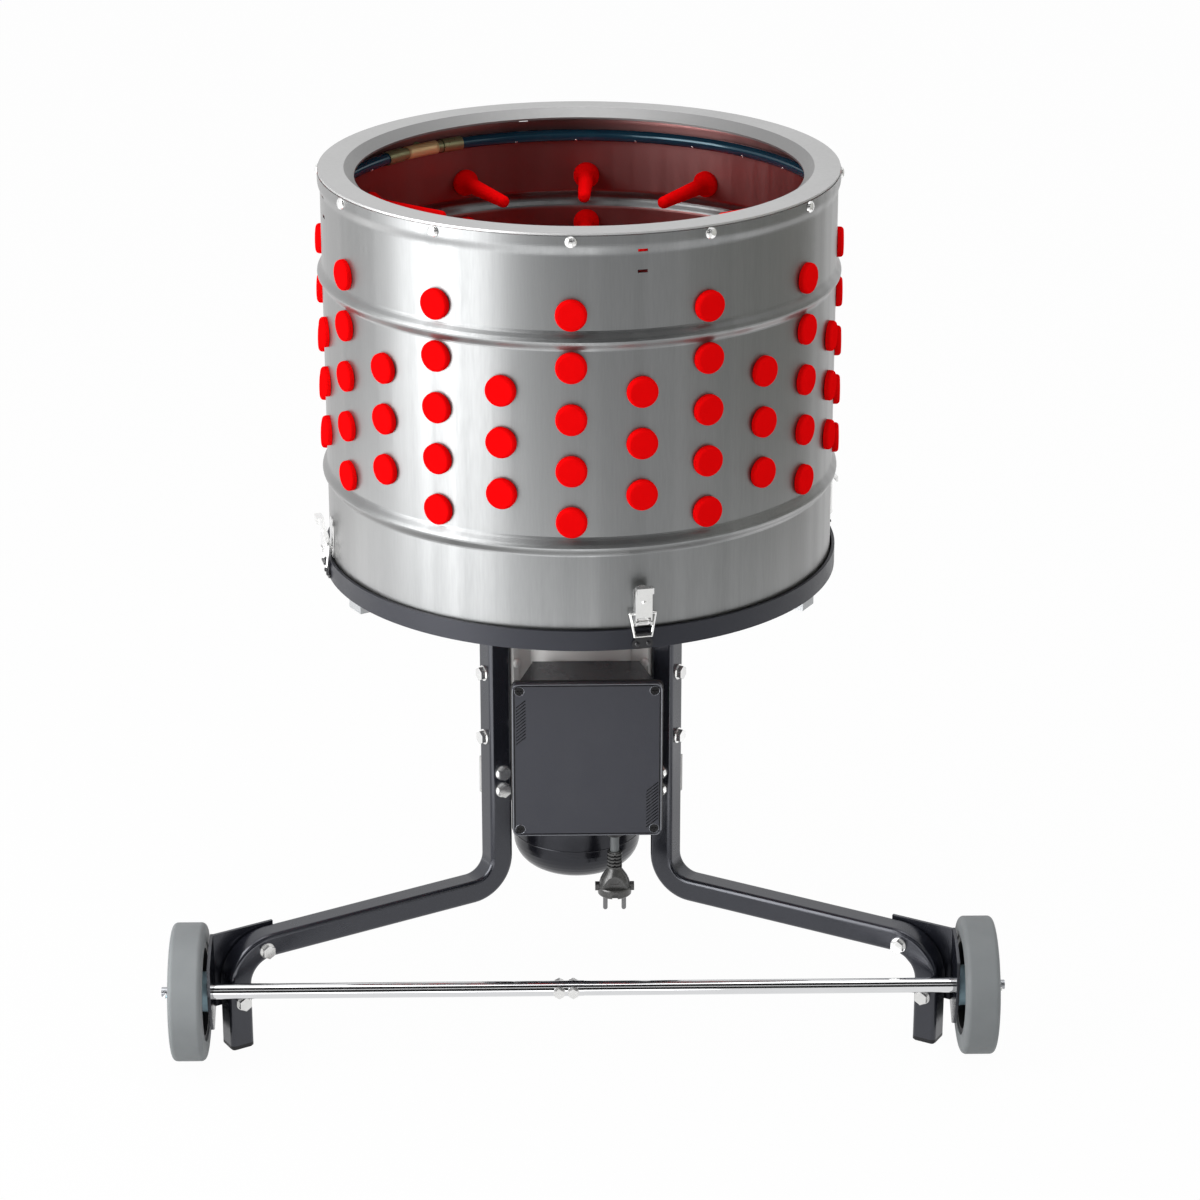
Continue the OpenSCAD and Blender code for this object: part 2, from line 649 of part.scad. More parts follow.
// Domed lower end of the motor with its bearing boss
dome_r = 30;
cap_r = motor_bell_r - 0.8;
module dome_half(inset) {
    n = 10;
    polygon(concat([[0, inset / 2], [0, motor_seam - motor_low], [cap_r - inset, motor_seam - motor_low]],
        [for (i = [0 : n]) let (a = i * 90 / n)
            [cap_r - dome_r + (dome_r - inset) * cos(a), dome_r + 3 - (dome_r - inset) * sin(a)]],
        [[cap_r - dome_r - 14, 1.6 + inset]]));
}

module motor_end_cap() color([0.1, 0.1, 0.11]) placed() translate([motor_x, 0, motor_low]) difference() {
    union() {
        difference() {
            rotate_extrude($fn = fn_big) dome_half(0);
            rotate_extrude($fn = fn_big) difference() {
                dome_half(3);
                square([cap_r, 4]);
            }
            translate([0, 0, motor_seam - motor_low - 0.01]) cylinder(r = cap_r, h = 5, $fn = fn_big);
        }
        translate([0, 0, 3]) cylinder(r = motor_bearing_r + 4, h = motor_seam - motor_low - 3, $fn = fn_mid);
    }
    translate([0, 0, motor_seam - motor_low - motor_bearing_h - seat])
        cylinder(r = motor_bearing_r + seat, h = motor_bearing_h + 1, $fn = fn_mid);
    translate([0, 0, 12]) cylinder(r = rotor_shaft_d / 2 + 2, h = 40, $fn = fn_mid);
}

// Stator core with its two winding heads
module stator() color([0.6, 0.38, 0.2]) placed() translate([motor_x, 0, 0]) {
    core_r = motor_r - motor_wall - seat;
    translate([0, 0, core_z]) ring(core_r, rotor_r + air_gap, core_h);
    for (z = [core_z - 16, core_z + core_h]) translate([0, 0, z]) ring(core_r - 6, rotor_r + 4, 16, fn_mid);
}

module bearing(bore_r, outer_r, h) {
    race = (outer_r - bore_r) / 3;
    ring(outer_r, bore_r + run_fit, h, fn_mid);
    translate([0, 0, h / 2]) rotate_extrude($fn = fn_mid) translate([(outer_r + bore_r) / 2, 0])
        square([race, h - 1], center = true);
}

module ball_bearings() color([0.7, 0.71, 0.73]) placed() {
    for (z = bearing_z) translate([0, 0, z + seat / 2]) bearing(shaft_d / 2, bearing_r, bearing_h);
    translate([motor_x, 0, motor_seam - motor_bearing_h]) bearing(rotor_shaft_d / 2, motor_bearing_r,
        motor_bearing_h);
    translate([motor_x, 0, motor_top - 5]) bearing(rotor_shaft_d / 2, motor_bearing_r, motor_bearing_h);
    translate(lay_at) {
        translate([0, 0, deck_z + 0.5]) bearing(lay_shaft_d / 2, lay_shaft_d / 2 + 3, 6);
        translate([0, 0, gear_low - 3.5]) bearing(lay_shaft_d / 2, lay_shaft_d / 2 + 3, 6.5);
    }
}

module shaft_seal() color([0.12, 0.12, 0.12]) placed() translate([0, 0, boss_top - 7.5])
    ring(bearing_r - 2 - seat, shaft_d / 2 + run_fit, 7, fn_mid);

// Gear train: involute teeth, thinned for backlash

pressure_angle = 20;
backlash = 0.14;

function involute_deg(a) = tan(a) * 180 / PI - a;
function flank(teeth, r) = let (pitch = gear_module * teeth / 2, base = pitch * cos(pressure_angle))
    90 / teeth - backlash * 180 / PI / pitch + involute_deg(pressure_angle)
        - (r > base ? involute_deg(acos(base / r)) : 0);
function tooth(teeth, k) = let (pitch = gear_module * teeth / 2, base = pitch * cos(pressure_angle),
        root = pitch - 1.25 * gear_module, tip = pitch + 0.95 * gear_module, low = max(root + 0.05, base),
        turn = k * 360 / teeth, radii = [for (i = [0 : 3]) low + (tip - low) * i / 3],
        gap_half = 180 / teeth)
    concat([root * [cos(turn - gap_half), sin(turn - gap_half)],
            root * [cos(turn - flank(teeth, low) - 0.2), sin(turn - flank(teeth, low) - 0.2)]],
        [for (r = radii) r * [cos(turn - flank(teeth, r)), sin(turn - flank(teeth, r))]],
        [for (i = [3 : -1 : 0]) radii[i] * [cos(turn + flank(teeth, radii[i])), sin(turn + flank(teeth,
            radii[i]))]],
        [root * [cos(turn + flank(teeth, low) + 0.2), sin(turn + flank(teeth, low) + 0.2)]]);

module spur_gear(teeth, h, bore) linear_extrude(h) difference() {
    polygon([for (k = [0 : teeth - 1]) each tooth(teeth, k)]);
    circle(d = bore, $fn = fn_mid);
}

module output_gear() color([0.55, 0.56, 0.6]) placed() translate([0, 0, second_mesh_z])
    rotate([0, 0, out_turn]) spur_gear(output_teeth, gear_face, shaft_d + seat);

// Layshaft with its large gear and its pinion
module lay_shaft() color([0.55, 0.56, 0.6]) placed() translate(lay_at) {
    translate([0, 0, gear_low - 3]) cylinder(d = lay_shaft_d, h = deck_z + 6 - gear_low + 3, $fn = fn_mid);
    translate([0, 0, first_mesh_z]) rotate([0, 0, motor_turn + 180 + 180 / lay_gear_teeth])
        spur_gear(lay_gear_teeth, gear_face, lay_shaft_d - 1);
    translate([0, 0, second_mesh_z - 2]) rotate([0, 0, out_turn + 180 + 180 / lay_pinion_teeth])
        spur_gear(lay_pinion_teeth, gear_face + 4, lay_shaft_d - 1);
}

// Motor rotor on its shaft, with the pinion cut on the shaft's end
module rotor() color([0.5, 0.5, 0.52]) placed() translate([motor_x, 0, 0]) {
    translate([0, 0, motor_low + 14]) cylinder(d = rotor_shaft_d, h = first_mesh_z + 8 - motor_low - 14,
        $fn = fn_mid);
    translate([0, 0, core_z]) ring(rotor_r, rotor_shaft_d / 2 - 1, core_h);
    translate([0, 0, first_mesh_z - 1]) rotate([0, 0, motor_turn])
        spur_gear(motor_pinion_teeth, gear_face + 2, rotor_shaft_d - 1);
}

module drive_shaft() color([0.7, 0.71, 0.73]) placed() {
    translate([0, 0, second_mesh_z - 2]) cylinder(d = shaft_d, h = plate_z - plate_t - second_mesh_z + 2,
        $fn = fn_mid);
    translate([0, 0, plate_z - plate_t - 1]) cylinder(d = thread_d, h = plate_t + 20, $fn = fn_mid);
}

// Hub under the finger plate, with the washer and nut that hold the plate down
module plate_hub() color([0.75, 0.75, 0.76]) placed() {
    translate([0, 0, plate_z - plate_t - hub_h]) ring(hub_r, shaft_d / 2 + seat, hub_h - 0.05, fn_mid);
    translate([0, 0, plate_z + 0.05]) ring(20, thread_d / 2 + seat, 3, fn_mid);
    translate([0, 0, plate_z + 3.1]) difference() {
        cylinder(r = 13.9, h = 13, $fn = 6);
        translate([0, 0, -1]) cylinder(r = thread_d / 2 + seat, h = 15, $fn = fn_mid);
    }
}

// Rubber finger: the wall's outer face at z = 0, head towards +Z, shaft through the wall
module finger(wall, seat_in, reach) {
    head_r = finger_head_d / 2;
    base_r = 0.9 * head_r;
    edge = 0.5 * finger_head_h;
    tip_r = finger_tip_d / 2;
    tip_n = 3;
    rotate_extrude($fn = 40) polygon(concat(
        [[0, finger_head_h], [head_r - edge - 1.5, finger_head_h]],
        [for (i = [0 : 3]) let (a = 75 - 25 * i) [head_r - edge + edge * cos(a),
            finger_head_h - edge + edge * sin(a)]],
        [[head_r, seat], [finger_neck_d / 2, seat], [finger_neck_d / 2, -wall - seat_in],
            [base_r, -wall - seat_in], [base_r, -wall - seat_in - 4], [finger_base_d / 2 + 1.2,
                -wall - seat_in - 12],
            [finger_base_d / 2, -wall - seat_in - 18]],
        [for (i = [0 : tip_n]) let (a = 22.5 * i)
            [tip_r * cos(a), -reach + tip_r * 0.8 - tip_r * 0.8 * sin(a) / sin(22.5 * tip_n)]],
        [[0, -reach]]));
}

module at_wall_fingers() {
    for (c = [0 : columns - 1], r = [0 : rows - 1]) at_angle(drum_turn + c * column_step)
        translate([drum_r, 0, top_row_z - r * row_pitch]) rotate([0, 90, 0]) children();
    for (c = [0 : columns - 1], r = [0 : mid_rows - 1]) at_angle(drum_turn + (c + 0.5) * column_step)
        translate([drum_r, 0, top_row_z - (r + 1.5) * row_pitch]) rotate([0, 90, 0]) children();
}

wall_seat = drum_in_r - sqrt(drum_in_r * drum_in_r - pow(0.45 * finger_head_d, 2)) + seat;

module wall_fingers() color([0.92, 0.06, 0.06]) placed() at_wall_fingers() finger(shell_t, wall_seat,
    finger_reach);

module at_plate_fingers() for (i = [0 : len(plate_rings) - 1], k = [0 : plate_counts[i] - 1])
    rotate([0, 0, k * 360 / plate_counts[i] + 7 * i]) translate([plate_rings[i] * plate_r, 0,
        plate_z - plate_t])
        children();

module plate_fingers() color([0.92, 0.06, 0.06]) placed() at_plate_fingers()
    rotate([180, 0, 0]) finger(plate_t, seat, plate_finger_reach);

module finger_plate() color([0.8, 0.8, 0.8]) placed() difference() {
    translate([0, 0, plate_z - plate_t]) cylinder(r = plate_r, h = plate_t, $fn = fn_big);
    translate([0, 0, plate_z - plate_t - 1]) cylinder(r = thread_d / 2 + seat, h = plate_t + 2,
        $fn = fn_mid);
    at_plate_fingers() translate([0, 0, -1]) cylinder(r = neck_hole_r, h = plate_t + 2, $fn = fn_small);
}

// Drum shell: one rolled profile with two beads and a flared top

function bead_offset(z) = let (d = abs(z) / (bead_w / 2)) d >= 1 ? 0 : bead_out * (1 + cos(180 * d)) / 2;
function bead_points(zc) = [for (i = [-6 : 6]) [bead_offset(i * bead_w / 12), zc + i * bead_w / 12]];
shell_line = concat([[0, shell_z]], bead_points(lower_bead_z), bead_points(upper_bead_z),
    [for (i = [0 : 8]) [flare_out * (1 - cos(22.5 * i)) / 2, shell_top - flare_h - 6 + i * flare_ramp / 8]],
    [[flare_out, shell_top]]);

module shell_profile() polygon(concat([for (p = shell_line) [drum_r + p[0], p[1]]],
    [for (i = [len(shell_line) - 1 : -1 : 0]) [drum_in_r + shell_line[i][0], shell_line[i][1]]]));

module drum_shell() color([0.75, 0.76, 0.77]) placed() difference() {
    rotate_extrude($fn = fn_big) shell_profile();
    at_wall_fingers() translate([0, 0, -shell_t - 3]) cylinder(r = neck_hole_r, h = shell_t + 6,
        $fn = fn_small);
    for (c = [0 : columns - 1]) at_angle(drum_turn + c * column_step) translate([0, 0, lid_screw_z])
        hole_x(lid_screw_d + 2 * bolt_fit, drum_r - 4, flare_r + 3);
    for (i = [0 : latches - 1], z = slot_z) at_angle(latch_turn + i * latch_step)
        translate([drum_r - 5, -slot_w / 2, z - slot_h / 2]) cube([12, slot_w, slot_h]);
    at_angle(coupling_turn) translate([0, 0, hose_z]) hole_x(inlet_d + 2 * bolt_fit, drum_r - 5, drum_r + 4);
}

// Lid: flat rim, sloping inner lip and a skirt inside the flared shell top
module drum_lid() color([0.8, 0.8, 0.8]) placed() difference() {
    rotate_extrude($fn = fn_big) polygon([[lid_r, lid_z], [lid_r, lid_z + lid_t],
        [lid_r - lid_flat_w, lid_z + lid_t], [lid_r - lid_flat_w - lid_lip_in, lid_z + lid_t - lid_lip_drop],
        [lid_r - lid_flat_w - lid_lip_in, lid_z - lid_lip_drop], [lid_r - lid_flat_w, lid_z],
        [lid_skirt_r - 1.5, lid_z], [lid_skirt_r - 1.5, shell_top - lid_skirt_h + 4],
        [lid_skirt_r, shell_top - lid_skirt_h + 4], [lid_skirt_r, lid_z]]);
    for (c = [0 : columns - 1]) at_angle(drum_turn + c * column_step) translate([0, 0, lid_screw_z])
        hole_x(lid_screw_d + 2 * bolt_fit, drum_r - 8, flare_r + 3);
}

// Dome-head screw along +X, its seat at x = 0, with the nut behind the skirt
module lid_screw() {
    head = 5.8;
    rise = 3.4;
    rotate([0, 90, 0]) rotate_extrude($fn = fn_mid) polygon(concat([[0, -9], [lid_screw_d / 2, -9],
        [lid_screw_d / 2, 0], [head, 0]], [for (i = [1 : 4]) [head * cos(20 * i), rise * sin(20 * i)
            / sin(80)]],
        [[0, rise]]));
    translate([-shell_t - 2.2, 0, 0]) nut(lid_screw_d);
}

module lid_screws() color([0.85, 0.85, 0.85]) placed() for (c = [0 : columns - 1])
    at_angle(drum_turn + c * column_step) translate([flare_r + 0.1, 0, lid_screw_z]) lid_screw();

// Spray hose, its coupling and the inlet through the drum wall

module hose_arc(d, a0, a1) rotate([0, 0, a0 - 90]) translate([0, 0, hose_z])
    rotate_extrude(angle = a1 - a0, $fn = fn_big) translate([hose_r, 0]) circle(d = d, $fn = fn_mid);

module spray_hose() color([0.1, 0.2, 0.3]) placed()
    hose_arc(hose_d, coupling_turn + coupling_half - ferrule_step + 0.1,
        coupling_turn - coupling_half + ferrule_step + 359.9);

module hose_coupling() color([0.7, 0.6, 0.35]) placed() difference() {
    union() {
        hose_arc(hose_d - 0.5, coupling_turn - coupling_half + 1, coupling_turn + coupling_half - 1);
        for (m = [-1, 1]) let (a = coupling_turn + m * (coupling_half - ferrule_step / 2))
            hose_arc(hose_d + 2 * ferrule_t, a - ferrule_step / 2, a + ferrule_step / 2);
    }
    for (m = [-1, 1]) let (a = coupling_turn + m * (coupling_half - ferrule_step + 5))
        hose_arc(hose_d + 0.2, a - 5, a + 5);
}

// Water inlet through the drum wall: spigot, hexagon collar outside and a hose tail
module water_inlet() color([0.72, 0.6, 0.3]) placed() at_angle(coupling_turn) translate([0, 0, hose_z]) {
    hole_x(inlet_d, hose_r + hose_d / 2 - 0.2, drum_r + 2);
    translate([drum_r + 0.1, 0, 0]) rotate([0, 90, 0]) cylinder(r = 12, h = 7, $fn = 6);
    translate([drum_r + 6, 0, 0]) rotate([0, 90, 0]) rotate_extrude($fn = fn_mid) polygon([[0, 0],
        [inlet_tail_r, 0], [inlet_tail_r, 17.5], [inlet_tail_r - 1, 19], [4, 19], [4, 3], [0, 3]]);
}

// Control box

module box_outline(inset) polygon([[box_x - front_half + inset, box_front], [box_x + front_half - inset,
    box_front],
    [box_x + back_half - inset, box_back - inset], [box_x - back_half + inset, box_back - inset]]);

// A frame on the right side wall: z along its outward normal
module at_button(z) translate([box_x + (front_half + back_half) / 2, (box_front + box_back) / 2, z])
    rotate([0, 0, side_slope]) rotate([0, 90, 0]) children();

module control_box() color([0.23, 0.24, 0.27]) placed() difference() {
    union() {
        difference() {
            translate([0, 0, body_low]) linear_extrude(body_top - body_low) box_outline(0);
            translate([0, 0, body_low + box_wall]) linear_extrude(body_top - body_low - 2 * box_wall)
                box_outline(box_wall);
            translate([box_x - front_half + box_wall + 1, box_front - 1, body_low + box_wall])
                cube([2 * front_half - 2 * box_wall - 2, 4, body_top - body_low - 2 * box_wall]);
        }
        for (x = [-1, 1], z = [box_low + screw_inset, box_top - screw_inset])
            translate([box_x + x * (box_w / 2 - screw_inset), box_front, z]) hole_y(10, 0, 14);
        for (z = button_z) at_button(z) translate([0, 0, -1]) cylinder(r = button_cap_r + 3, h = 5,
            $fn = fn_mid);
    }
    for (x = [-1, 1], z = [box_low + screw_inset, box_top - screw_inset])
        translate([box_x + x * (box_w / 2 - screw_inset), box_front, z]) hole_y(4.4, -1, 11);
    for (z = button_z) at_button(z) {
        translate([0, 0, -10]) cylinder(r = button_r + gap, h = 20, $fn = fn_mid);
        cylinder(r = button_cap_r + gap, h = 10, $fn = fn_mid);
    }
    translate([cord_x, cord_y, body_low - 1]) cylinder(d = 16.4, h = box_wall + 2, $fn = fn_mid);
    for (z = box_bolt_z) translate([box_x, box_back, z]) hole_y(5.2, -box_wall - 1, 1);
    // Shallow step at each end of the roof, over the sloping side walls
    for (m = [0, 1]) translate([box_x, 0, 0]) mirror([m, 0, 0]) translate([back_half - 0.5,
        box_front + 9, body_top - 2])
        cube([30, box_depth - 8, 3]);
}

module box_cover() color([0.25, 0.26, 0.29]) placed() difference() {
    translate([box_x, box_front - 0.05, (box_top + box_low) / 2]) rotate([90, 0, 0])
        linear_extrude(box_cover_t) rounded_rect(box_w, box_h, 6);
    translate([box_x, box_front - 5, (box_top + box_low) / 2]) rotate([-90, 0, 0]) linear_extrude(6)
        square([box_w - 30, box_h - 30], center = true);
    for (x = [-1, 1], z = [box_low + screw_inset, box_top - screw_inset])
        translate([box_x + x * (box_w / 2 - screw_inset), box_front, z]) {
            hole_y(4.6, -20, 5);
            hole_y(9.4, -box_cover_t - 1, -box_cover_t + 3);
        }
}

module cover_screws() color([0.15, 0.15, 0.16]) placed()
    for (x = [-1, 1], z = [box_low + screw_inset, box_top - screw_inset])
        translate([box_x + x * (box_w / 2 - screw_inset), box_front, z]) difference() {
            union() {
                hole_y(8.8, -box_cover_t + 0.6, -box_cover_t + 2.9);
                hole_y(4, -box_cover_t + 1, 10);
            }
            for (a = [0, 90]) rotate([0, a, 0]) translate([-2.6, -box_cover_t, -0.5]) cube([5.2, 1.8, 1]);
        }

module run_capacitor() color([0.85, 0.85, 0.83]) placed()
    translate([box_x - 22, box_back - box_wall - 21, body_low + box_wall]) cylinder(r = 18, h = 80,
        $fn = fn_mid);

module switch_block() color([0.3, 0.3, 0.3]) placed()
    translate([box_x + 5, box_back - box_wall - 40, button_z[1] - 22]) cube([32, 40,
        button_z[0] - button_z[1] + 44]);

module push_button() {
    cylinder(r = button_r, h = 6, $fn = fn_mid);
    translate([0, 0, -14]) cylinder(r = button_r, h = 16, $fn = fn_mid);
    translate([0, 0, button_travel + 1.2]) cylinder(r = button_cap_r, h = 6, $fn = fn_mid);
}

module start_button() color([0.1, 0.6, 0.2]) placed() at_button(button_z[0]) push_button();
module stop_button() color([0.8, 0.1, 0.1]) placed() at_button(button_z[1]) push_button();

module cord_gland() color([0.12, 0.12, 0.13]) placed() translate([cord_x, cord_y, 0]) {
    translate([0, 0, gland_low + 6]) cylinder(r = 12.5, h = body_low - gland_low - 6.05, $fn = 6);
    translate([0, 0, gland_low]) cylinder(r1 = 8, r2 = 11, h = 6.05, $fn = fn_mid);
    translate([0, 0, body_low - 1]) cylinder(r = 8, h = box_wall + 8, $fn = fn_mid);
    translate([0, 0, body_low + box_wall + 0.05]) cylinder(r = 12, h = 5, $fn = 6);
}

// The cord's tube: rings of points swept along its route
module power_cord() color([0.55, 0.56, 0.57]) placed() translate([cord_x, cord_y, gland_low]) {
    n = len(cord_route);
    s = cord_side_count;
    points = [for (p = cord_route, k = [0 : s - 1]) p + [cos(k * 360 / s), sin(k * 360 / s),
        0] * cord_d / 2];
    sides = [for (i = [0 : n - 2], k = [0 : s - 1]) [i * s + k, i * s + (k + 1) % s, (i + 1)
        * s + (k + 1) % s,
        (i + 1) * s + k]];
    polyhedron(points, concat([[for (k = [s - 1 : -1 : 0]) k]], sides, [[for (k = [0 : s - 1]) (n - 1)
        * s + k]]));
}

module plug() color([0.25, 0.25, 0.25]) placed() translate([cord_x, cord_y, plug_face]) difference() {
    union() {
        rotate_extrude($fn = fn_mid) polygon([[0, 0], [16.3, 0], [17.3, 1], [17.3, 8], [16.6, 9.2], [0,
            9.2]]);
        intersection() {
            rotate_extrude($fn = fn_mid) polygon([[0, 8], [16.6, 8], [16.4, 10.5], [14.6, 16.2], [12.8, 20],
                [10.6, 23.3], [7.6, 27.6], [6.4, 29.6], [6.4, 48], [0, 48]]);
            translate([-20, -11, 0]) cube([40, 22, 50]);
        }
        for (i = [0 : 4]) translate([0, 0, 29.4 + 3.8 * i]) difference() {
            cylinder(r = 7.6, h = 2, $fn = fn_mid);
            for (y = [-1, 1]) translate([-1, y * 8 - 2, -1]) cube([2, 4, 4]);
        }
        for (x = [-1, 1]) translate([x * 18 - 2, -4, 4.5]) cube([4, 8, 6.5]);
    }
    translate([0, 0, 48 - plug_bore - 0.2]) cylinder(r = cord_d / 2 + seat, h = 50, $fn = fn_mid);
    for (x = [-9.5, 9.5]) translate([x, 0, -1]) cylinder(r = 2.9 + seat, h = 8, $fn = fn_small);
    for (y = [-1, 1]) translate([-2.8, y * 16.5 - 3, -1]) cube([5.6, 6, 6]);
    translate([-5, -11.8, 14.5]) cube([10, 1.4, 6]);
}

module plug_pins() color([0.75, 0.75, 0.76]) placed() for (x = [-9.5, 9.5])
    translate([cord_x + x, cord_y, plug_face - 19]) {
        translate([0, 0, 2.4]) cylinder(r = 2.4, h = 16.7, $fn = fn_small);
        translate([0, 0, 19.05]) cylinder(r = 2.9, h = 6.85, $fn = fn_small);
        translate([0, 0, 2.4]) sphere(2.4, $fn = fn_small);
    }

// Toggle latches, drawn at the drum angle 0 along +X

module at_latch(i) at_angle(latch_turn + i * latch_step) translate([drum_r, 0, 0]) children();

module latch_base() {
    w = 2 * ear_out + 2 * sheet;
    rotate([90, 0, 90]) translate([0, 0, 0.2]) linear_extrude(sheet) union() {
        translate([-w / 2, hinge_z - 6]) square([w, lever_h - 4]);
        translate([0, hinge_z + lever_h - 10]) circle(r = w / 2, $fn = fn_mid);
    }
    for (y = [-ear_out, ear_out - sheet]) translate([0.2, y, hinge_z]) {
        translate([0, 0, -3.2]) cube([hinge_u - 0.2, sheet, 6.4]);
        translate([hinge_u - 0.2, sheet, 0]) rotate([90, 0, 0]) cylinder(r = 3.2, h = sheet, $fn = fn_small);
    }
    translate([hinge_u, 0, hinge_z]) hole_y(pin_d, -lever_w / 2 - 0.4, lever_w / 2 + 0.4);
}

module latch_bases() color([0.8, 0.8, 0.8]) placed() for (i = [0 : latches - 1]) at_latch(i) latch_base();

module latch_catch() {
    u = ring_gap + ring_t + 0.15;
    lip_z = bail_low_z + wire_d / 2 + gap;
    rotate([90, 0, 90]) translate([0, 0, u]) linear_extrude(sheet) union() {
        translate([-lever_w / 2 + 1, ring_z + 4]) square([lever_w - 2, lip_z - ring_z - 2]);
        for (y = [-1, 1]) translate([y * 5.5, ring_z + 5.5]) circle(r = 5, $fn = fn_small);
        translate([-5.5, ring_z + 0.5]) square([11, 6]);
    }
    translate([u, -lever_w / 2 + 1, lip_z]) cube([6, lever_w - 2, 2]);
    for (y = [-5.5, 5.5]) translate([u, y, ring_z + 5.5]) rotate([0, 90, 0]) rotate_extrude($fn = fn_small)
        polygon([[0, 0.4], [2.4, 0.4], [2.4, sheet + 0.3], [1.8, sheet + 1], [0.8, sheet + 1.4], [0,
            sheet + 1.4]]);
}

module latch_catches() color([0.12, 0.12, 0.13]) placed() for (i = [0 : latches - 1]) at_latch(i)
    latch_catch();

module latch_lever() {
    half = lever_w / 2;
    web_u = hinge_u + 2.2;
    translate([web_u, -half, hinge_z + 5]) cube([sheet, lever_w, lever_h - 5]);
    translate([web_u, -half, hinge_z + lever_h - sheet]) cube([7.5, lever_w, sheet]);
    translate([web_u + 6, -half, hinge_z + lever_h - 6]) cube([sheet, lever_w, 6]);
    translate([web_u + 0.6, 0, hinge_z + 21]) sphere(2.2, $fn = fn_small);
    difference() {
        for (y = [-half, half - sheet]) translate([0, y + sheet, hinge_z]) rotate([90, 0, 0])
            linear_extrude(sheet) union() {
            translate([hinge_u, 0]) circle(r = 4.4, $fn = fn_mid);
            translate([bail_u, bail_z - hinge_z]) circle(r = 3.4, $fn = fn_mid);
            polygon([[hinge_u - 4.4, 0], [hinge_u + 3.7, 0], [hinge_u + 3.7, lever_h - 8], [hinge_u + 1,
                lever_h - 8],
                [bail_u - 3.4, bail_z - hinge_z]]);
        }
        translate([hinge_u, 0, hinge_z]) hole_y(pin_d + 2 * run_fit, -20, 20);
        translate([bail_u, 0, bail_z]) hole_y(wire_d + 2 * run_fit, -20, 20);
    }
}

module rod_between(a, b, d) {
    v = b - a;
    length = norm(v);
    translate(a) rotate([0, acos(v[2] / length), atan2(v[1], v[0])]) cylinder(d = d, h = length,
        $fn = fn_small);
}

module latch_bail() {
    low_half = lever_w / 2;
    for (y = [-1, 1]) {
        translate([bail_u, 0, bail_z]) hole_y(wire_d, min(y * (low_half - sheet + 0.1), y * bail_half),
            max(y * (low_half - sheet + 0.1), y * bail_half));
        translate([bail_u, y * bail_half, bail_z]) sphere(d = wire_d + 0.3, $fn = fn_small);
        rod_between([bail_u, y * bail_half, bail_z], [bail_low_u, y * low_half, bail_low_z], wire_d);
        translate([bail_low_u, y * low_half, bail_low_z]) sphere(d = wire_d + 0.3, $fn = fn_small);
    }
    translate([bail_low_u, 0, bail_low_z]) hole_y(wire_d, -low_half, low_half);
}

module lever_at(i) color([0.8, 0.8, 0.8]) placed() at_latch(i) latch_lever();
module bail_at(i) color([0.8, 0.8, 0.8]) placed() at_latch(i) latch_bail();

module latch_lever_1() lever_at(0);
module latch_lever_2() lever_at(1);
module latch_lever_3() lever_at(2);
module latch_lever_4() lever_at(3);
module latch_bail_1() bail_at(0);
module latch_bail_2() bail_at(1);
module latch_bail_3() bail_at(2);
module latch_bail_4() bail_at(3);

left_leg();
right_leg();
rear_leg();
foot_caps();
wheel_brackets();
bracket_bolts();
left_axle_tube();
right_axle_tube();
axle_rod();
axle_fasteners();
frame_bolts();
frame_nuts();
base_ring();
support_spider();
gear_housing();
motor_flange();
motor_housing();
motor_end_cap();
stator();
ball_bearings();
shaft_seal();
control_box();
box_cover();
cover_screws();
run_capacitor();
switch_block();
cord_gland();
power_cord();
plug();
plug_pins();
drum_shell();
drum_lid();
lid_screws();
wall_fingers();
latch_bases();
latch_catches();
spray_hose();
hose_coupling();
water_inlet();
finger_plate();
plate_fingers();
drive_shaft();
plate_hub();
output_gear();
lay_shaft();
rotor();
left_tyre();
left_hub();
right_tyre();
right_hub();
start_button();
stop_button();
latch_lever_1();
latch_lever_2();
latch_lever_3();
latch_lever_4();
latch_bail_1();
latch_bail_2();
latch_bail_3();
latch_bail_4();
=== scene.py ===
"""Looks for a drum poultry plucker: finishes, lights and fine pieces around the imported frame."""

import logging
import math
from collections.abc import Callable, Iterable
from dataclasses import dataclass, field
from enum import Enum

import bmesh
import bpy
from mathutils import Matrix, Vector


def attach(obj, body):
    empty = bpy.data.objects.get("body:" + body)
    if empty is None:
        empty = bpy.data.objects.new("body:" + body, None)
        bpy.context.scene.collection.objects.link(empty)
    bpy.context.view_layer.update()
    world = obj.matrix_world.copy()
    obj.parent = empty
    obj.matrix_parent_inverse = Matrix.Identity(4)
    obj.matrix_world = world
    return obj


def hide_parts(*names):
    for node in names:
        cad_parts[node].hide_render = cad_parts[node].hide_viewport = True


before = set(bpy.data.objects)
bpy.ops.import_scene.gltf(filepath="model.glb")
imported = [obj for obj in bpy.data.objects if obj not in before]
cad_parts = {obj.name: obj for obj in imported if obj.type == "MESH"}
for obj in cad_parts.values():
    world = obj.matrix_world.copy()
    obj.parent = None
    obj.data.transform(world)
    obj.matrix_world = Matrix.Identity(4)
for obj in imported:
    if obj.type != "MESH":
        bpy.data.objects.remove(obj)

# Sizes are in metres. A turn about the drum is in degrees, 0 at the front and growing towards +X.
LOG = logging.getLogger("plucker")
DRUM_AXIS_Y = -0.0600609
NOISE_LOW, NOISE_HIGH = 0.3, 0.7
BROAD_DETAIL, FINE_DETAIL, DIMPLE_DETAIL = 3.0, 2.0, 1.0
GRAIN_SHARE = 0.5
GLANCE_BLEND = 0.5
COAT_ROUGHNESS = 0.12
UNSTRETCHED = (1.0, 1.0, 1.0)
Point = tuple[float, float, float]
Colour = tuple[float, float, float]
Work = bmesh.types.BMesh
Tree = bpy.types.NodeTree
Socket = bpy.types.NodeSocket


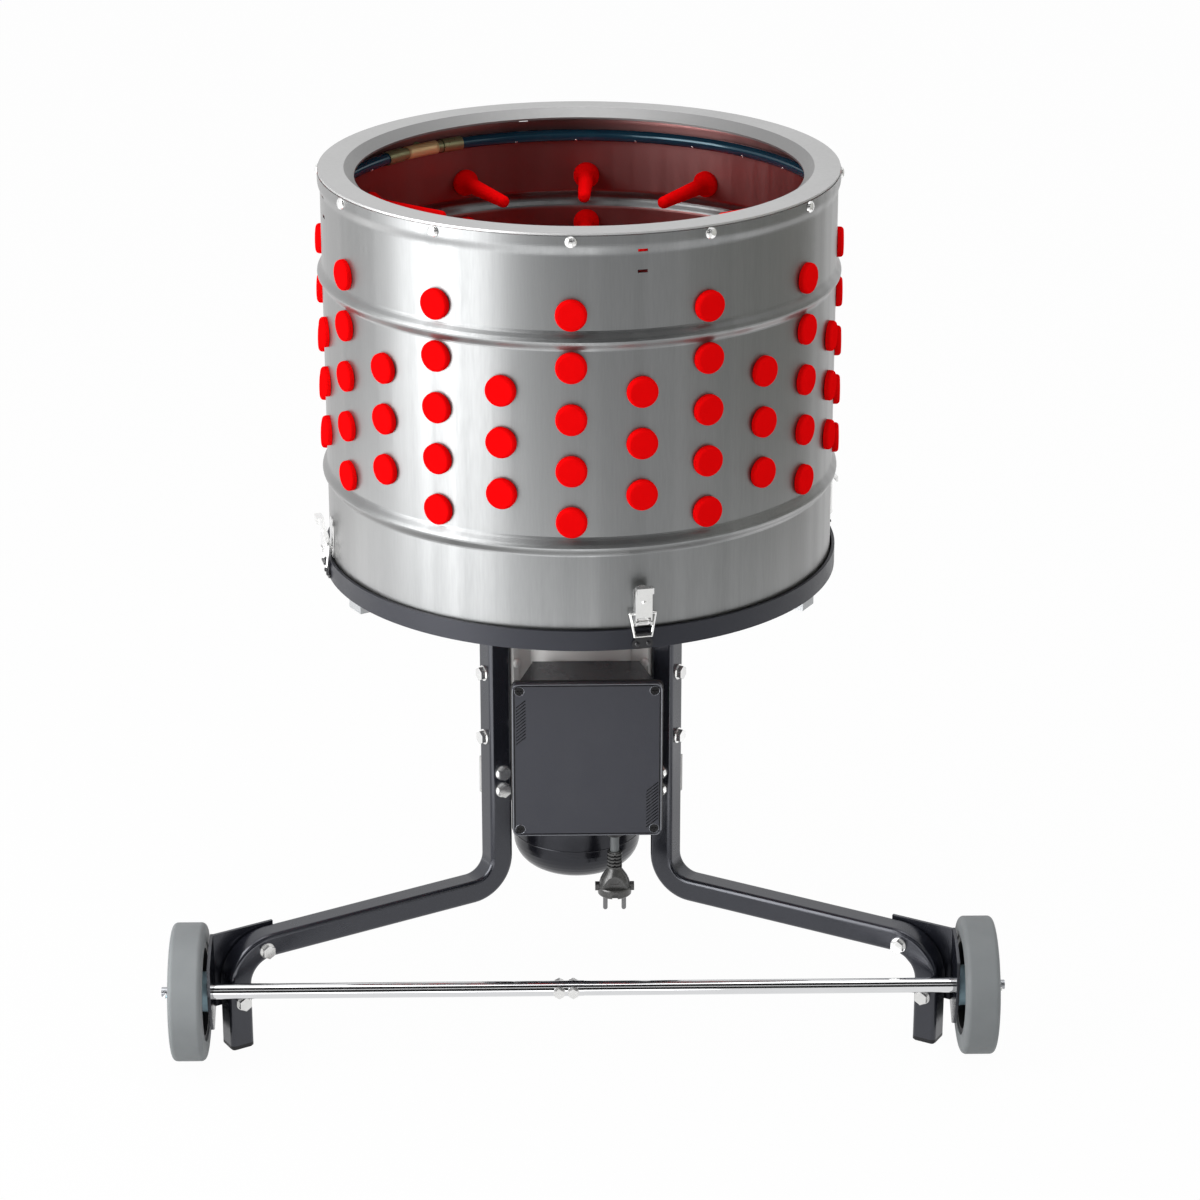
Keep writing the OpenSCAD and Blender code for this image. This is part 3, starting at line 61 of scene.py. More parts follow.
def calculate(
    tree: Tree, operation: str, *values: Socket | float | Point, kind: str = "ShaderNodeMath",
    out: str = "Value", clamp: bool = False,
) -> Socket:
    """Adds one math node.

    Args:
        tree: The node tree that gets the node.
        operation: What the node does.
        values: Its inputs in order, each a socket to link or a plain value.
        kind: The node's type, for plain or for vector math.
        out: The output that is read.
        clamp: Whether the result is held between zero and one.

    Returns:
        The result's socket.
    """
    made = tree.nodes.new(kind)
    made.operation = operation
    if clamp:
        made.use_clamp = True
    for plug, value in zip(made.inputs, values):
        if isinstance(value, Socket):
            tree.links.new(value, plug)
        else:
            plug.default_value = value
    return made.outputs[out]


def vectors(tree: Tree, operation: str, *values: Socket | Point, out: str = "Vector") -> Socket:
    """Adds one vector math node, as calculate does."""
    return calculate(tree, operation, *values, kind="ShaderNodeVectorMath", out=out)


def turns(count: int) -> list[float]:
    """Gives evenly spaced angles once round, in radians."""
    return [2 * math.pi * j / count for j in range(count)]


class Grain(Enum):
    """How the fine marks of a finish lie on its surface."""

    EVEN = (1.0, 1.0, 1.0)
    UPRIGHT = (1.0, 1.0, 0.08)
    ROUND_THE_DRUM = (0.25, 0.25, 1.0)
    ALONG_X = (0.04, 1.0, 1.0)


@dataclass(frozen=True)
class Zone:
    """A part of a node that takes another tone, told by its place about an axis."""

    colour: Colour
    roughness: float
    axis: Point
    centre: Point
    radius: float = 0.0
    inward: bool = False
    skip: tuple[float, float] | None = None


@dataclass(frozen=True)
class Finish:
    """One procedural finish: a base colour with mottling, fine grain and a painted highlight at glancing
    angles.
    """

    name: str
    colour: Colour
    worn: Colour
    roughness: float
    metallic: float = 0.0
    mottle_scale: float = 14.0
    mottle: float = 0.35
    grain: Grain = Grain.EVEN
    grain_scale: float = 900.0
    grain_depth: float = 0.00004
    rough_spread: float = 0.08
    coat: float = 0.0
    specular: float = 0.5
    ior: float = 1.5
    painted_glance: Colour | None = None
    broad_stretch: Point = UNSTRETCHED
    sheen: Colour = (1.0, 1.0, 1.0)
    dimple_scale: float = 0.0
    dimple_depth: float = 0.0
    zone: Zone | None = None

    def material(self) -> bpy.types.Material:
        """Makes the node material once and gives it again after that.

        Returns:
            The Blender material of this finish.
        """
        title = f"finish_{self.name}"
        found = bpy.data.materials.get(title)
        if found is not None:
            return found
        made = bpy.data.materials.new(title)
        made.use_nodes = True
        made.diffuse_color = (*self.colour, 1.0)
        tree = made.node_tree
        tree.nodes.clear()
        out = tree.nodes.new("ShaderNodeOutputMaterial")
        shader = tree.nodes.new("ShaderNodeBsdfPrincipled")
        shader.inputs["Metallic"].default_value = self.metallic
        shader.inputs["Coat Weight"].default_value = self.coat
        shader.inputs["Coat Roughness"].default_value = COAT_ROUGHNESS
        shader.inputs["Specular IOR Level"].default_value = self.specular
        shader.inputs["IOR"].default_value = self.ior
        shader.inputs["Specular Tint"].default_value = (*self.sheen, 1.0)
        tree.links.new(shader.outputs["BSDF"], out.inputs["Surface"])
        place = tree.nodes.new("ShaderNodeTexCoord").outputs["Object"]
        broad = self._noise(tree, place, self.mottle_scale, BROAD_DETAIL, self.broad_stretch)
        fine = self._noise(tree, place, self.grain_scale, FINE_DETAIL, self.grain.value)
        where = self._zone_mask(tree, place) if self.zone else None
        self._paint(tree, shader, broad, fine, where)
        self._roughen(tree, shader, broad, fine, where)
        self._emboss(tree, shader, place, fine)
        return made

    @staticmethod
    def _noise(tree: Tree, place: Socket, scale: float, detail: float, stretch: Point) -> Socket:
        """Adds stretched noise.

        Args:
            tree: The node tree that gets the nodes.
            place: The coordinates that the noise reads.
            scale: Features per metre.
            detail: Octaves of finer noise.
            stretch: Scale along each axis, under one for long marks.

        Returns:
            The noise value's socket.
        """
        mapping = tree.nodes.new("ShaderNodeMapping")
        mapping.inputs["Scale"].default_value = stretch
        tree.links.new(place, mapping.inputs["Vector"])
        noise = tree.nodes.new("ShaderNodeTexNoise")
        noise.inputs["Scale"].default_value = scale
        noise.inputs["Detail"].default_value = detail
        tree.links.new(mapping.outputs["Vector"], noise.inputs["Vector"])
        return noise.outputs["Fac"]

    @staticmethod
    def _spread(tree: Tree, value: Socket, low: float, high: float) -> Socket:
        """Maps noise from its usual spread on to low and high.

        Args:
            tree: The node tree that gets the node.
            value: The noise to map.
            low: What the dark end of the noise becomes.
            high: What the bright end of the noise becomes.

        Returns:
            The mapped value's socket.
        """
        node = tree.nodes.new("ShaderNodeMapRange")
        node.inputs["From Min"].default_value = NOISE_LOW
        node.inputs["From Max"].default_value = NOISE_HIGH
        node.inputs["To Min"].default_value = low
        node.inputs["To Max"].default_value = high
        tree.links.new(value, node.inputs["Value"])
        return node.outputs["Result"]

    def _zone_mask(self, tree: Tree, place: Socket) -> Socket:
        """Marks the zone: what faces its axis, or what lies within its radius.

        Args:
            tree: The node tree that gets the nodes.
            place: The object's own coordinates.

        Returns:
            A socket that is one inside the zone.
        """
        zone = self.zone
        away = vectors(tree, "SUBTRACT", place, zone.centre)
        flat = vectors(tree, "MULTIPLY", away, tuple(1.0 - abs(a) for a in zone.axis))
        if zone.inward:
            normal = tree.nodes.new("ShaderNodeTexCoord").outputs["Normal"]
            mask = calculate(tree, "LESS_THAN", vectors(tree, "DOT_PRODUCT", flat, normal, out="Value"), 0.0)
        else:
            mask = calculate(tree, "LESS_THAN", vectors(tree, "LENGTH", flat, out="Value"), zone.radius)
        return mask if zone.skip is None else self._leave_out(tree, place, mask)

    def _leave_out(self, tree: Tree, place: Socket, mask: Socket) -> Socket:
        """Clears the zone's mask in its skipped band of heights.

        Args:
            tree: The node tree that gets the nodes.
            place: The object's own coordinates.
            mask: The mask to clear.

        Returns:
            The mask without the band.
        """
        low, high = self.zone.skip
        parts = tree.nodes.new("ShaderNodeSeparateXYZ")
        tree.links.new(place, parts.inputs[0])
        band = calculate(tree, "COMPARE", parts.outputs["Z"], (low + high) / 2, (high - low) / 2)
        return calculate(tree, "SUBTRACT", mask, band, clamp=True)

    def _paint(
        self, tree: Tree, shader: bpy.types.Node, broad: Socket, fine: Socket, where: Socket | None
    ) -> None:
        """Mixes the base and worn colours by mottling and grain, then adds the zone's tone and the painted
        highlight at glancing angles.

        Args:
            tree: The node tree that gets the nodes.
            shader: The shader that takes the colour.
            broad: The broad noise.
            fine: The fine noise.
            where: The zone's mask, if the finish has a zone.
        """
        mottling = self._spread(tree, broad, 0.0, 1.0 - GRAIN_SHARE)
        both = calculate(tree, "MULTIPLY_ADD", fine, GRAIN_SHARE, mottling)
        amount = calculate(tree, "MULTIPLY", both, self.mottle, clamp=True)
        colour = self._blend(tree, amount, self.colour, self.worn)
        # Painted highlight: where the surface is seen at a glancing angle, the colour turns towards the
        # lighter glance colour.
        if self.painted_glance is not None:
            edge = tree.nodes.new("ShaderNodeLayerWeight")
            edge.inputs["Blend"].default_value = GLANCE_BLEND
            facing = self._spread(tree, edge.outputs["Facing"], 0.0, 1.0)
            colour = self._blend(tree, facing, colour, self.painted_glance)
        if where is not None:
            colour = self._blend(tree, where, colour, self.zone.colour)
        tree.links.new(colour, shader.inputs["Base Color"])

    @staticmethod
    def _blend(tree: Tree, factor: Socket, first: Socket | Colour, second: Colour) -> Socket:
        """Mixes a colour towards another.

        Args:
            tree: The node tree that gets the node.
            factor: How much of the second colour shows.
            first: The colour that shows at zero.
            second: The colour that shows at one.

        Returns:
            The mixed colour's socket.
        """
        mix = tree.nodes.new("ShaderNodeMix")
        mix.data_type = "RGBA"
        a = next(i for i in mix.inputs if i.name == "A" and i.type == "RGBA")
        b = next(i for i in mix.inputs if i.name == "B" and i.type == "RGBA")
        if isinstance(first, Socket):
            tree.links.new(first, a)
        else:
            a.default_value = (*first, 1.0)
        b.default_value = (*second, 1.0)
        tree.links.new(factor, mix.inputs["Factor"])
        return next(o for o in mix.outputs if o.type == "RGBA")

    def _roughen(
        self, tree: Tree, shader: bpy.types.Node, broad: Socket, fine: Socket, where: Socket | None
    ) -> None:
        """Varies the roughness by both noises and shifts it in the zone.

        Args:
            tree: The node tree that gets the nodes.
            shader: The shader that takes the roughness.
            broad: The broad noise.
            fine: The fine noise.
            where: The zone's mask, if the finish has a zone.
        """
        wide, half = self.rough_spread, self.rough_spread / 2
        coarse = self._spread(tree, broad, self.roughness - wide, self.roughness + wide)
        last = calculate(tree, "ADD", coarse, self._spread(tree, fine, -half, half), clamp=True)
        if where is not None:
            shift = self.zone.roughness - self.roughness
            last = calculate(tree, "MULTIPLY_ADD", where, shift, last, clamp=True)
        tree.links.new(last, shader.inputs["Roughness"])

    def _emboss(self, tree: Tree, shader: bpy.types.Node, place: Socket, fine: Socket) -> None:
        """Raises the grain, and where asked larger dimples, as bump.

        Args:
            tree: The node tree that gets the nodes.
            shader: The shader that takes the normal.
            place: The coordinates that the dimples read.
            fine: The fine noise.
        """
        bump = tree.nodes.new("ShaderNodeBump")
        bump.inputs["Strength"].default_value = 1.0
        bump.inputs["Distance"].default_value = self.grain_depth
        tree.links.new(fine, bump.inputs["Height"])
        if self.dimple_depth:
            dents = self._noise(tree, place, self.dimple_scale, DIMPLE_DETAIL, UNSTRETCHED)
            second = tree.nodes.new("ShaderNodeBump")
            second.inputs["Strength"].default_value = 1.0
            second.inputs["Distance"].default_value = self.dimple_depth
            tree.links.new(dents, second.inputs["Height"])
            tree.links.new(second.outputs["Normal"], bump.inputs["Normal"])
        tree.links.new(bump.outputs["Normal"], shader.inputs["Normal"])

    def dress(self, *objects: bpy.types.Object) -> None:
        """Gives this finish to whole objects.

        Args:
            objects: The pieces or CAD nodes to dress.
        """
        for item in objects:
            item.data.materials.clear()
            item.data.materials.append(self.material())


COOL = (0.90, 0.92, 1.0)
# Painted reflection and shade: the drum's inward faces are tinted dark red, as the reflection of the red
# fingers, except in the band of the inner bead.
INSIDE_PAINTED_REFLECTION = Zone(
    colour=(0.32, 0.155, 0.15), roughness=0.42, axis=(0.0, 0.0, 1.0), centre=(0.0, DRUM_AXIS_Y, 0.0),
    inward=True, skip=(0.7495, 0.7655),
)
LID_LIP = Zone(
    colour=(0.26, 0.26, 0.26), roughness=0.45, axis=(0.0, 0.0, 1.0), centre=(0.0, DRUM_AXIS_Y, 0.0),
    radius=0.2303,
)
HUB_FACE = Zone(
    colour=(0.38, 0.55, 0.63), roughness=0.42, axis=(1.0, 0.0, 0.0), centre=(0.0, -0.2871391, 0.073),
    radius=0.0212,
)

# Painted highlight at glancing angles, and inside the drum the painted reflection of the red fingers with
# painted shade.
SHEET_STEEL = Finish(
    "sheet_steel", (0.213, 0.217, 0.218), (0.160, 0.164, 0.165), roughness=0.38, metallic=1.0,
    mottle_scale=52.0, mottle=0.9, grain=Grain.UPRIGHT, grain_scale=620.0, grain_depth=0.000008,
    rough_spread=0.05, painted_glance=(0.30, 0.30, 0.30), broad_stretch=(1.0, 1.0, 0.0), zone=INSIDE_PAINTED_REFLECTION,
)
LID_STEEL = Finish(
    "lid_steel", (0.49, 0.49, 0.49), (0.41, 0.41, 0.41), roughness=0.50, metallic=0.85, mottle_scale=12.0,
    mottle=0.6, grain=Grain.ROUND_THE_DRUM, grain_scale=800.0, grain_depth=0.00003, rough_spread=0.05,
    zone=LID_LIP,
)
PLATE_STEEL = Finish(
    "plate_steel", (0.40, 0.40, 0.40), (0.33, 0.33, 0.33), roughness=0.34, metallic=1.0, mottle_scale=12.0,
    mottle=0.4, grain=Grain.ALONG_X, grain_scale=700.0, grain_depth=0.00001, rough_spread=0.05,
)
RED_RUBBER = Finish(
    "red_rubber", (0.98, 0.003, 0.004), (0.86, 0.002, 0.003), roughness=0.7, mottle_scale=60.0, mottle=0.45,
    grain_scale=1400.0, grain_depth=0.00005, specular=0.0, ior=1.0,
)
TYRE_GREY = Finish(
    "tyre_grey", (0.250, 0.267, 0.274), (0.20, 0.213, 0.219), roughness=0.6, mottle_scale=40.0, mottle=0.5,
    grain_scale=1600.0, grain_depth=0.00008, rough_spread=0.06, specular=0.25,
)
HUB_BLACK = Finish(
    "hub_black", (0.014, 0.015, 0.017), (0.03, 0.032, 0.036), roughness=0.45, metallic=0.3, mottle_scale=50.0,
    mottle=0.4, grain_depth=0.00002, rough_spread=0.06, specular=0.3, zone=HUB_FACE,
)
LEG_BLACK = Finish(
    "leg_black", (0.010, 0.011, 0.016), (0.020, 0.021, 0.030), roughness=0.22, mottle_scale=30.0, mottle=0.4,
    grain_scale=1500.0, grain_depth=0.00005, rough_spread=0.05, specular=0.75, sheen=COOL,
)
RING_GREY = Finish(
    "ring_grey", (0.018, 0.019, 0.025), (0.027, 0.028, 0.037), roughness=0.36, mottle_scale=30.0, mottle=0.4,
    grain_scale=1500.0, grain_depth=0.00009, rough_spread=0.05, specular=0.28, sheen=COOL,
)
BOX_GREY = Finish(
    "box_grey", (0.033, 0.035, 0.046), (0.048, 0.050, 0.064), roughness=0.42, mottle_scale=40.0, mottle=0.45,
    grain_scale=1300.0, grain_depth=0.00012, rough_spread=0.05, specular=0.25,
)
BOX_BLACK = Finish(
    "box_black", (0.016, 0.016, 0.020), (0.028, 0.028, 0.034), roughness=0.24, mottle_scale=40.0, mottle=0.45,
    grain_scale=1300.0, grain_depth=0.00006, rough_spread=0.06, specular=0.6, sheen=COOL,
)
CASTING_GREY = Finish(
    "casting_grey", (0.56, 0.56, 0.55), (0.45, 0.45, 0.44), roughness=0.5, mottle_scale=30.0, mottle=0.5,
    grain_depth=0.0001, dimple_scale=120.0, dimple_depth=0.0003,
)
ARM_STEEL = Finish(
    "arm_steel", (0.40, 0.41, 0.42), (0.32, 0.33, 0.34), roughness=0.4, metallic=0.8, mottle_scale=20.0,
    mottle=0.5, grain_scale=800.0,
)
MOTOR_BLACK = Finish(
    "motor_black", (0.006, 0.006, 0.009), (0.012, 0.012, 0.017), roughness=0.22, mottle_scale=30.0,
    mottle=0.4, grain_depth=0.00002, rough_spread=0.03, sheen=COOL, dimple_scale=90.0, dimple_depth=0.00012,
)
# Painted highlight: the zinc turns lighter at glancing angles.
ZINC = Finish(
    "zinc_plate", (0.78, 0.78, 0.77), (0.64, 0.64, 0.63), roughness=0.19, metallic=0.82, mottle_scale=120.0,
    mottle=0.5, grain_depth=0.00002, painted_glance=(0.85, 0.85, 0.85),
)
CHROME = Finish(
    "chrome", (0.70, 0.705, 0.715), (0.60, 0.605, 0.615), roughness=0.09, metallic=1.0, mottle_scale=40.0,
    mottle=0.3, grain=Grain.ALONG_X, grain_scale=500.0, grain_depth=0.000004, rough_spread=0.03,
)
# Black of the cover screws, also used as painted shade: the line inside the cover's edge, the grip lines'
# grooves and the plug's grooves.
SCREW_AND_SHADE_BLACK = Finish(
    "screw_and_shade_black", (0.004, 0.004, 0.005), (0.008, 0.008, 0.010), roughness=0.26, mottle_scale=200.0,
    mottle=0.5, grain_depth=0.00002, specular=0.12,
)
# Painted highlight: a lighter gloss for the bright lines along the cover's rounded edge and the roof's front
# lip.
PAINTED_EDGE_HIGHLIGHT = Finish(
    "painted_edge_highlight", (0.13, 0.135, 0.15), (0.10, 0.104, 0.118), roughness=0.14, metallic=0.5, mottle_scale=60.0,
    mottle=0.4, grain_depth=0.00002, specular=0.9,
)
GROUND_STEEL = Finish(
    "ground_steel", (0.40, 0.41, 0.43), (0.30, 0.31, 0.33), roughness=0.3, metallic=1.0, mottle_scale=60.0,
    mottle=0.5, grain=Grain.UPRIGHT, grain_depth=0.00001,
)
PIN_STEEL = Finish(
    "pin_steel", (0.20, 0.20, 0.205), (0.15, 0.15, 0.155), roughness=0.25, metallic=1.0, mottle_scale=90.0,
    mottle=0.4, grain_depth=0.00001,
)
# Painted highlight: a lighter gloss for the glints round the mouths of the cover's screw holes.
PAINTED_RIM_HIGHLIGHT = Finish(
    "painted_rim_highlight", (0.17, 0.175, 0.195), (0.13, 0.135, 0.15), roughness=0.16, metallic=0.8, mottle_scale=90.0,
    mottle=0.4, grain_depth=0.00001,
)
BRASS = Finish(
    "brass", (0.36, 0.37, 0.20), (0.26, 0.26, 0.13), roughness=0.35, metallic=0.55, mottle_scale=90.0,
    mottle=0.5, grain_depth=0.00002,
)
SLEEVE = Finish(
    "coupling_sleeve", (0.90, 0.66, 0.34), (0.80, 0.55, 0.26), roughness=0.40, metallic=0.35,
    mottle_scale=90.0, mottle=0.5,
)
HOSE_BLUE = Finish(
    "hose_blue", (0.008, 0.040, 0.075), (0.014, 0.075, 0.115), roughness=0.14, mottle_scale=40.0, mottle=0.5,
    grain_depth=0.00001, coat=0.2, sheen=(0.55, 0.85, 1.0),
)
COPPER = Finish(
    "winding_copper", (0.45, 0.20, 0.09), (0.30, 0.13, 0.06), roughness=0.4, metallic=0.8, mottle_scale=200.0,
    mottle=0.6,
)
SEAL_BLACK = Finish(
    "seal_black", (0.015, 0.015, 0.015), (0.03, 0.03, 0.03), roughness=0.6, grain_depth=0.00005, specular=0.3,
)
CAP_BLACK = Finish(
    "cap_black", (0.012, 0.012, 0.014), (0.024, 0.024, 0.028), roughness=0.42, grain_depth=0.00006,
    specular=0.35,
)
CORD_GREY = Finish(
    "cord_grey", (0.20, 0.215, 0.22), (0.15, 0.16, 0.165), roughness=0.5, mottle_scale=120.0, mottle=0.4,
    specular=0.4,
)
PLUG_GREY = Finish(
    "plug_grey", (0.040, 0.040, 0.039), (0.065, 0.065, 0.062), roughness=0.24, mottle_scale=90.0, mottle=0.4,
    specular=0.8,
)
PALE_PLASTIC = Finish("pale_plastic", (0.62, 0.62, 0.58), (0.52, 0.52, 0.48), roughness=0.45)
START_GREEN = Finish("start_green", (0.02, 0.30, 0.06), (0.015, 0.22, 0.05), roughness=0.3, coat=0.3)
STOP_RED = Finish("stop_red", (0.60, 0.015, 0.012), (0.48, 0.012, 0.01), roughness=0.3, coat=0.3)
CATCH_BLACK = Finish("catch_black", (0.012, 0.012, 0.015), (0.024, 0.024, 0.028), roughness=0.3, specular=0.4)


def node(name: str) -> bpy.types.Object:
    """Gives a CAD node's object by name."""
    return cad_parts[name]


def about_drum(angle: float, radius: float, height: float) -> Vector:
    """Finds a point from its place about the drum axis.

    Args:
        angle: Degrees from the front, growing towards +X.
        radius: Metres from the drum axis.
        height: Metres above the floor.

    Returns:
        The point in the object's own frame.
    """
    turn = math.radians(angle)
    return Vector((radius * math.sin(turn), DRUM_AXIS_Y - radius * math.cos(turn), height))


def mesh_piece(name: str, body: str, finish: Finish, fill: Callable[[Work], None]) -> None:
    """Makes a mesh piece, dresses it and lets it ride on its body.

    Args:
        name: The piece's name.
        body: The CAD body that carries it.
        finish: What its surface looks like.
        fill: Fills the piece's empty mesh.
    """
    mesh = bpy.data.meshes.new(name)
    work = bmesh.new()
    fill(work)
    bmesh.ops.recalc_face_normals(work, faces=work.faces)
    work.to_mesh(mesh)
    work.free()
    for face in mesh.polygons:
        face.use_smooth = True
    made = bpy.data.objects.new(name, mesh)
    bpy.context.scene.collection.objects.link(made)
    finish.dress(made)
    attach(made, body)
    LOG.info("made %s on %s", name, body)


def strip(work: Work, loops: list[list[bmesh.types.BMVert]], closed: bool) -> None:
    """Joins rings of corners with faces, and caps the ends of an open row of rings.

    Args:
        work: The mesh to fill.
        loops: The rings of corners, all with the same count.
        closed: Whether the last ring joins the first.
    """
    for low, high in list(zip(loops, loops[1:])) + ([(loops[-1], loops[0])] if closed else []):
        for j in range(len(low)):
            n = (j + 1) % len(low)
            work.faces.new((low[j], low[n], high[n], high[j]))
    if not closed:
        work.faces.new(list(reversed(loops[0])))
        work.faces.new(loops[-1])


def standing(at: Vector, axis: Vector) -> Matrix:
    """Gives the frame that stands at a point with its Z along an axis."""
    return Matrix.Translation(at) @ axis.to_track_quat("Z", "Y").to_matrix().to_4x4()


def lathe(work: Work, outline: Iterable[tuple[float, float]], place: Matrix, steps: int) -> None:
    """Turns an outline about Z into the mesh.

    Args:
        work: The mesh to fill.
        outline: Radius and height of each point, in metres.
        place: Where the turned form's frame stands.
        steps: Faces round the turn.
    """
    strip(work, [
        [work.verts.new(place @ Vector((r * math.cos(t), r * math.sin(t), z))) for t in turns(steps)]
        for r, z in outline
    ], closed=False)


def ring_bar(work: Work, path: list[Vector], radius: float, closed: bool = False, sides: int = 8) -> None:
    """Sweeps a small round bar along a path into the mesh.

    Args:
        work: The mesh to fill.
        path: The bar's centreline.
        radius: The bar's radius in metres.
        closed: Whether the path's end joins its start.
        sides: Faces round the bar.
    """
    steep = 0.9
    count = len(path)
    loops = []
    for k, at in enumerate(path):
        before = path[k - 1] if closed or k else at
        after = path[(k + 1) % count] if closed or k < count - 1 else at
        along = (after - before).normalized()
        side = along.orthogonal() if abs(along.z) > steep else along.cross(Vector((0.0, 0.0, 1.0)))
        side.normalize()
        up = side.cross(along)
        loops.append([
            work.verts.new(at + radius * (math.cos(t) * side + math.sin(t) * up)) for t in turns(sides)
        ])
    strip(work, loops, closed)


@dataclass(frozen=True)
class SoftBox:
    """One soft box lamp: where it hangs, the point it faces, its size in metres and its power in watts.

    One that is gloss_only shows only in glossy surfaces, as a reflector card does.
    """

    name: str
    at: Point
    aim: Point
    size: tuple[float, float]
    power: float
    gloss_only: bool = False


@dataclass(frozen=True)
class Flag:
    """A flat sheet, seen only in glossy surfaces: its corners in order, and its tone."""

    name: str
    corners: tuple[Point, Point, Point, Point]
    finish: Finish


SOFT_BOXES = (
    SoftBox(
        "key_left", at=(-1.5, -0.85, 0.95), aim=(0.0, -0.06, 0.6), size=(1.1, 2.2), power=26.0,
    ),
    SoftBox(
        "card_left", at=(-1.04, -0.76, 0.85), aim=(0.0, -0.06, 0.6), size=(1.15, 1.7),
        power=21.0, gloss_only=True,
    ),
    SoftBox(
        "card_front", at=(-0.60, -0.98, 0.012), aim=(-0.60, -0.98, 1.0), size=(1.5, 0.95),
        power=9.5, gloss_only=True,
    ),
    SoftBox(
        "card_back", at=(-1.42, 0.08, 0.012), aim=(-1.42, 0.08, 1.0), size=(0.7, 1.1),
        power=4.0, gloss_only=True,
    ),
    SoftBox(
        "fill_right", at=(2.8, -1.8, 1.8), aim=(0.0, 0.0, 0.5), size=(1.2, 1.8), power=8.0,
    ),
    SoftBox(
        "card_side", at=(0.92, -0.45, 0.012), aim=(0.92, -0.45, 1.0), size=(0.8, 1.3),
        power=1.75, gloss_only=True,
    ),
    SoftBox(
        "top_soft", at=(0.0, -0.15, 3.2), aim=(0.0, 0.0, 0.5), size=(2.0, 1.5), power=20.0,
    ),
)
FLAG_REACH = 6.0
FLAGS = (
    Flag("flag_above", (
        (-FLAG_REACH, -1.15, 3.3), (FLAG_REACH, -1.15, 3.3),
        (FLAG_REACH, -3.9, 3.3), (-FLAG_REACH, -3.9, 3.3),
    ), SEAL_BLACK),
    Flag("flag_front", (
        (-FLAG_REACH, -6.5, 4.1), (FLAG_REACH, -6.5, 4.1),
        (FLAG_REACH, -6.5, 0.2), (-FLAG_REACH, -6.5, 0.2),
    ), SEAL_BLACK),
    Flag("flag_right", (
        (1.15, -1.3, 0.2), (1.15, 0.5, 0.2), (1.15, 0.5, 1.5), (1.15, -1.3, 1.5),
    ), PALE_PLASTIC),
)


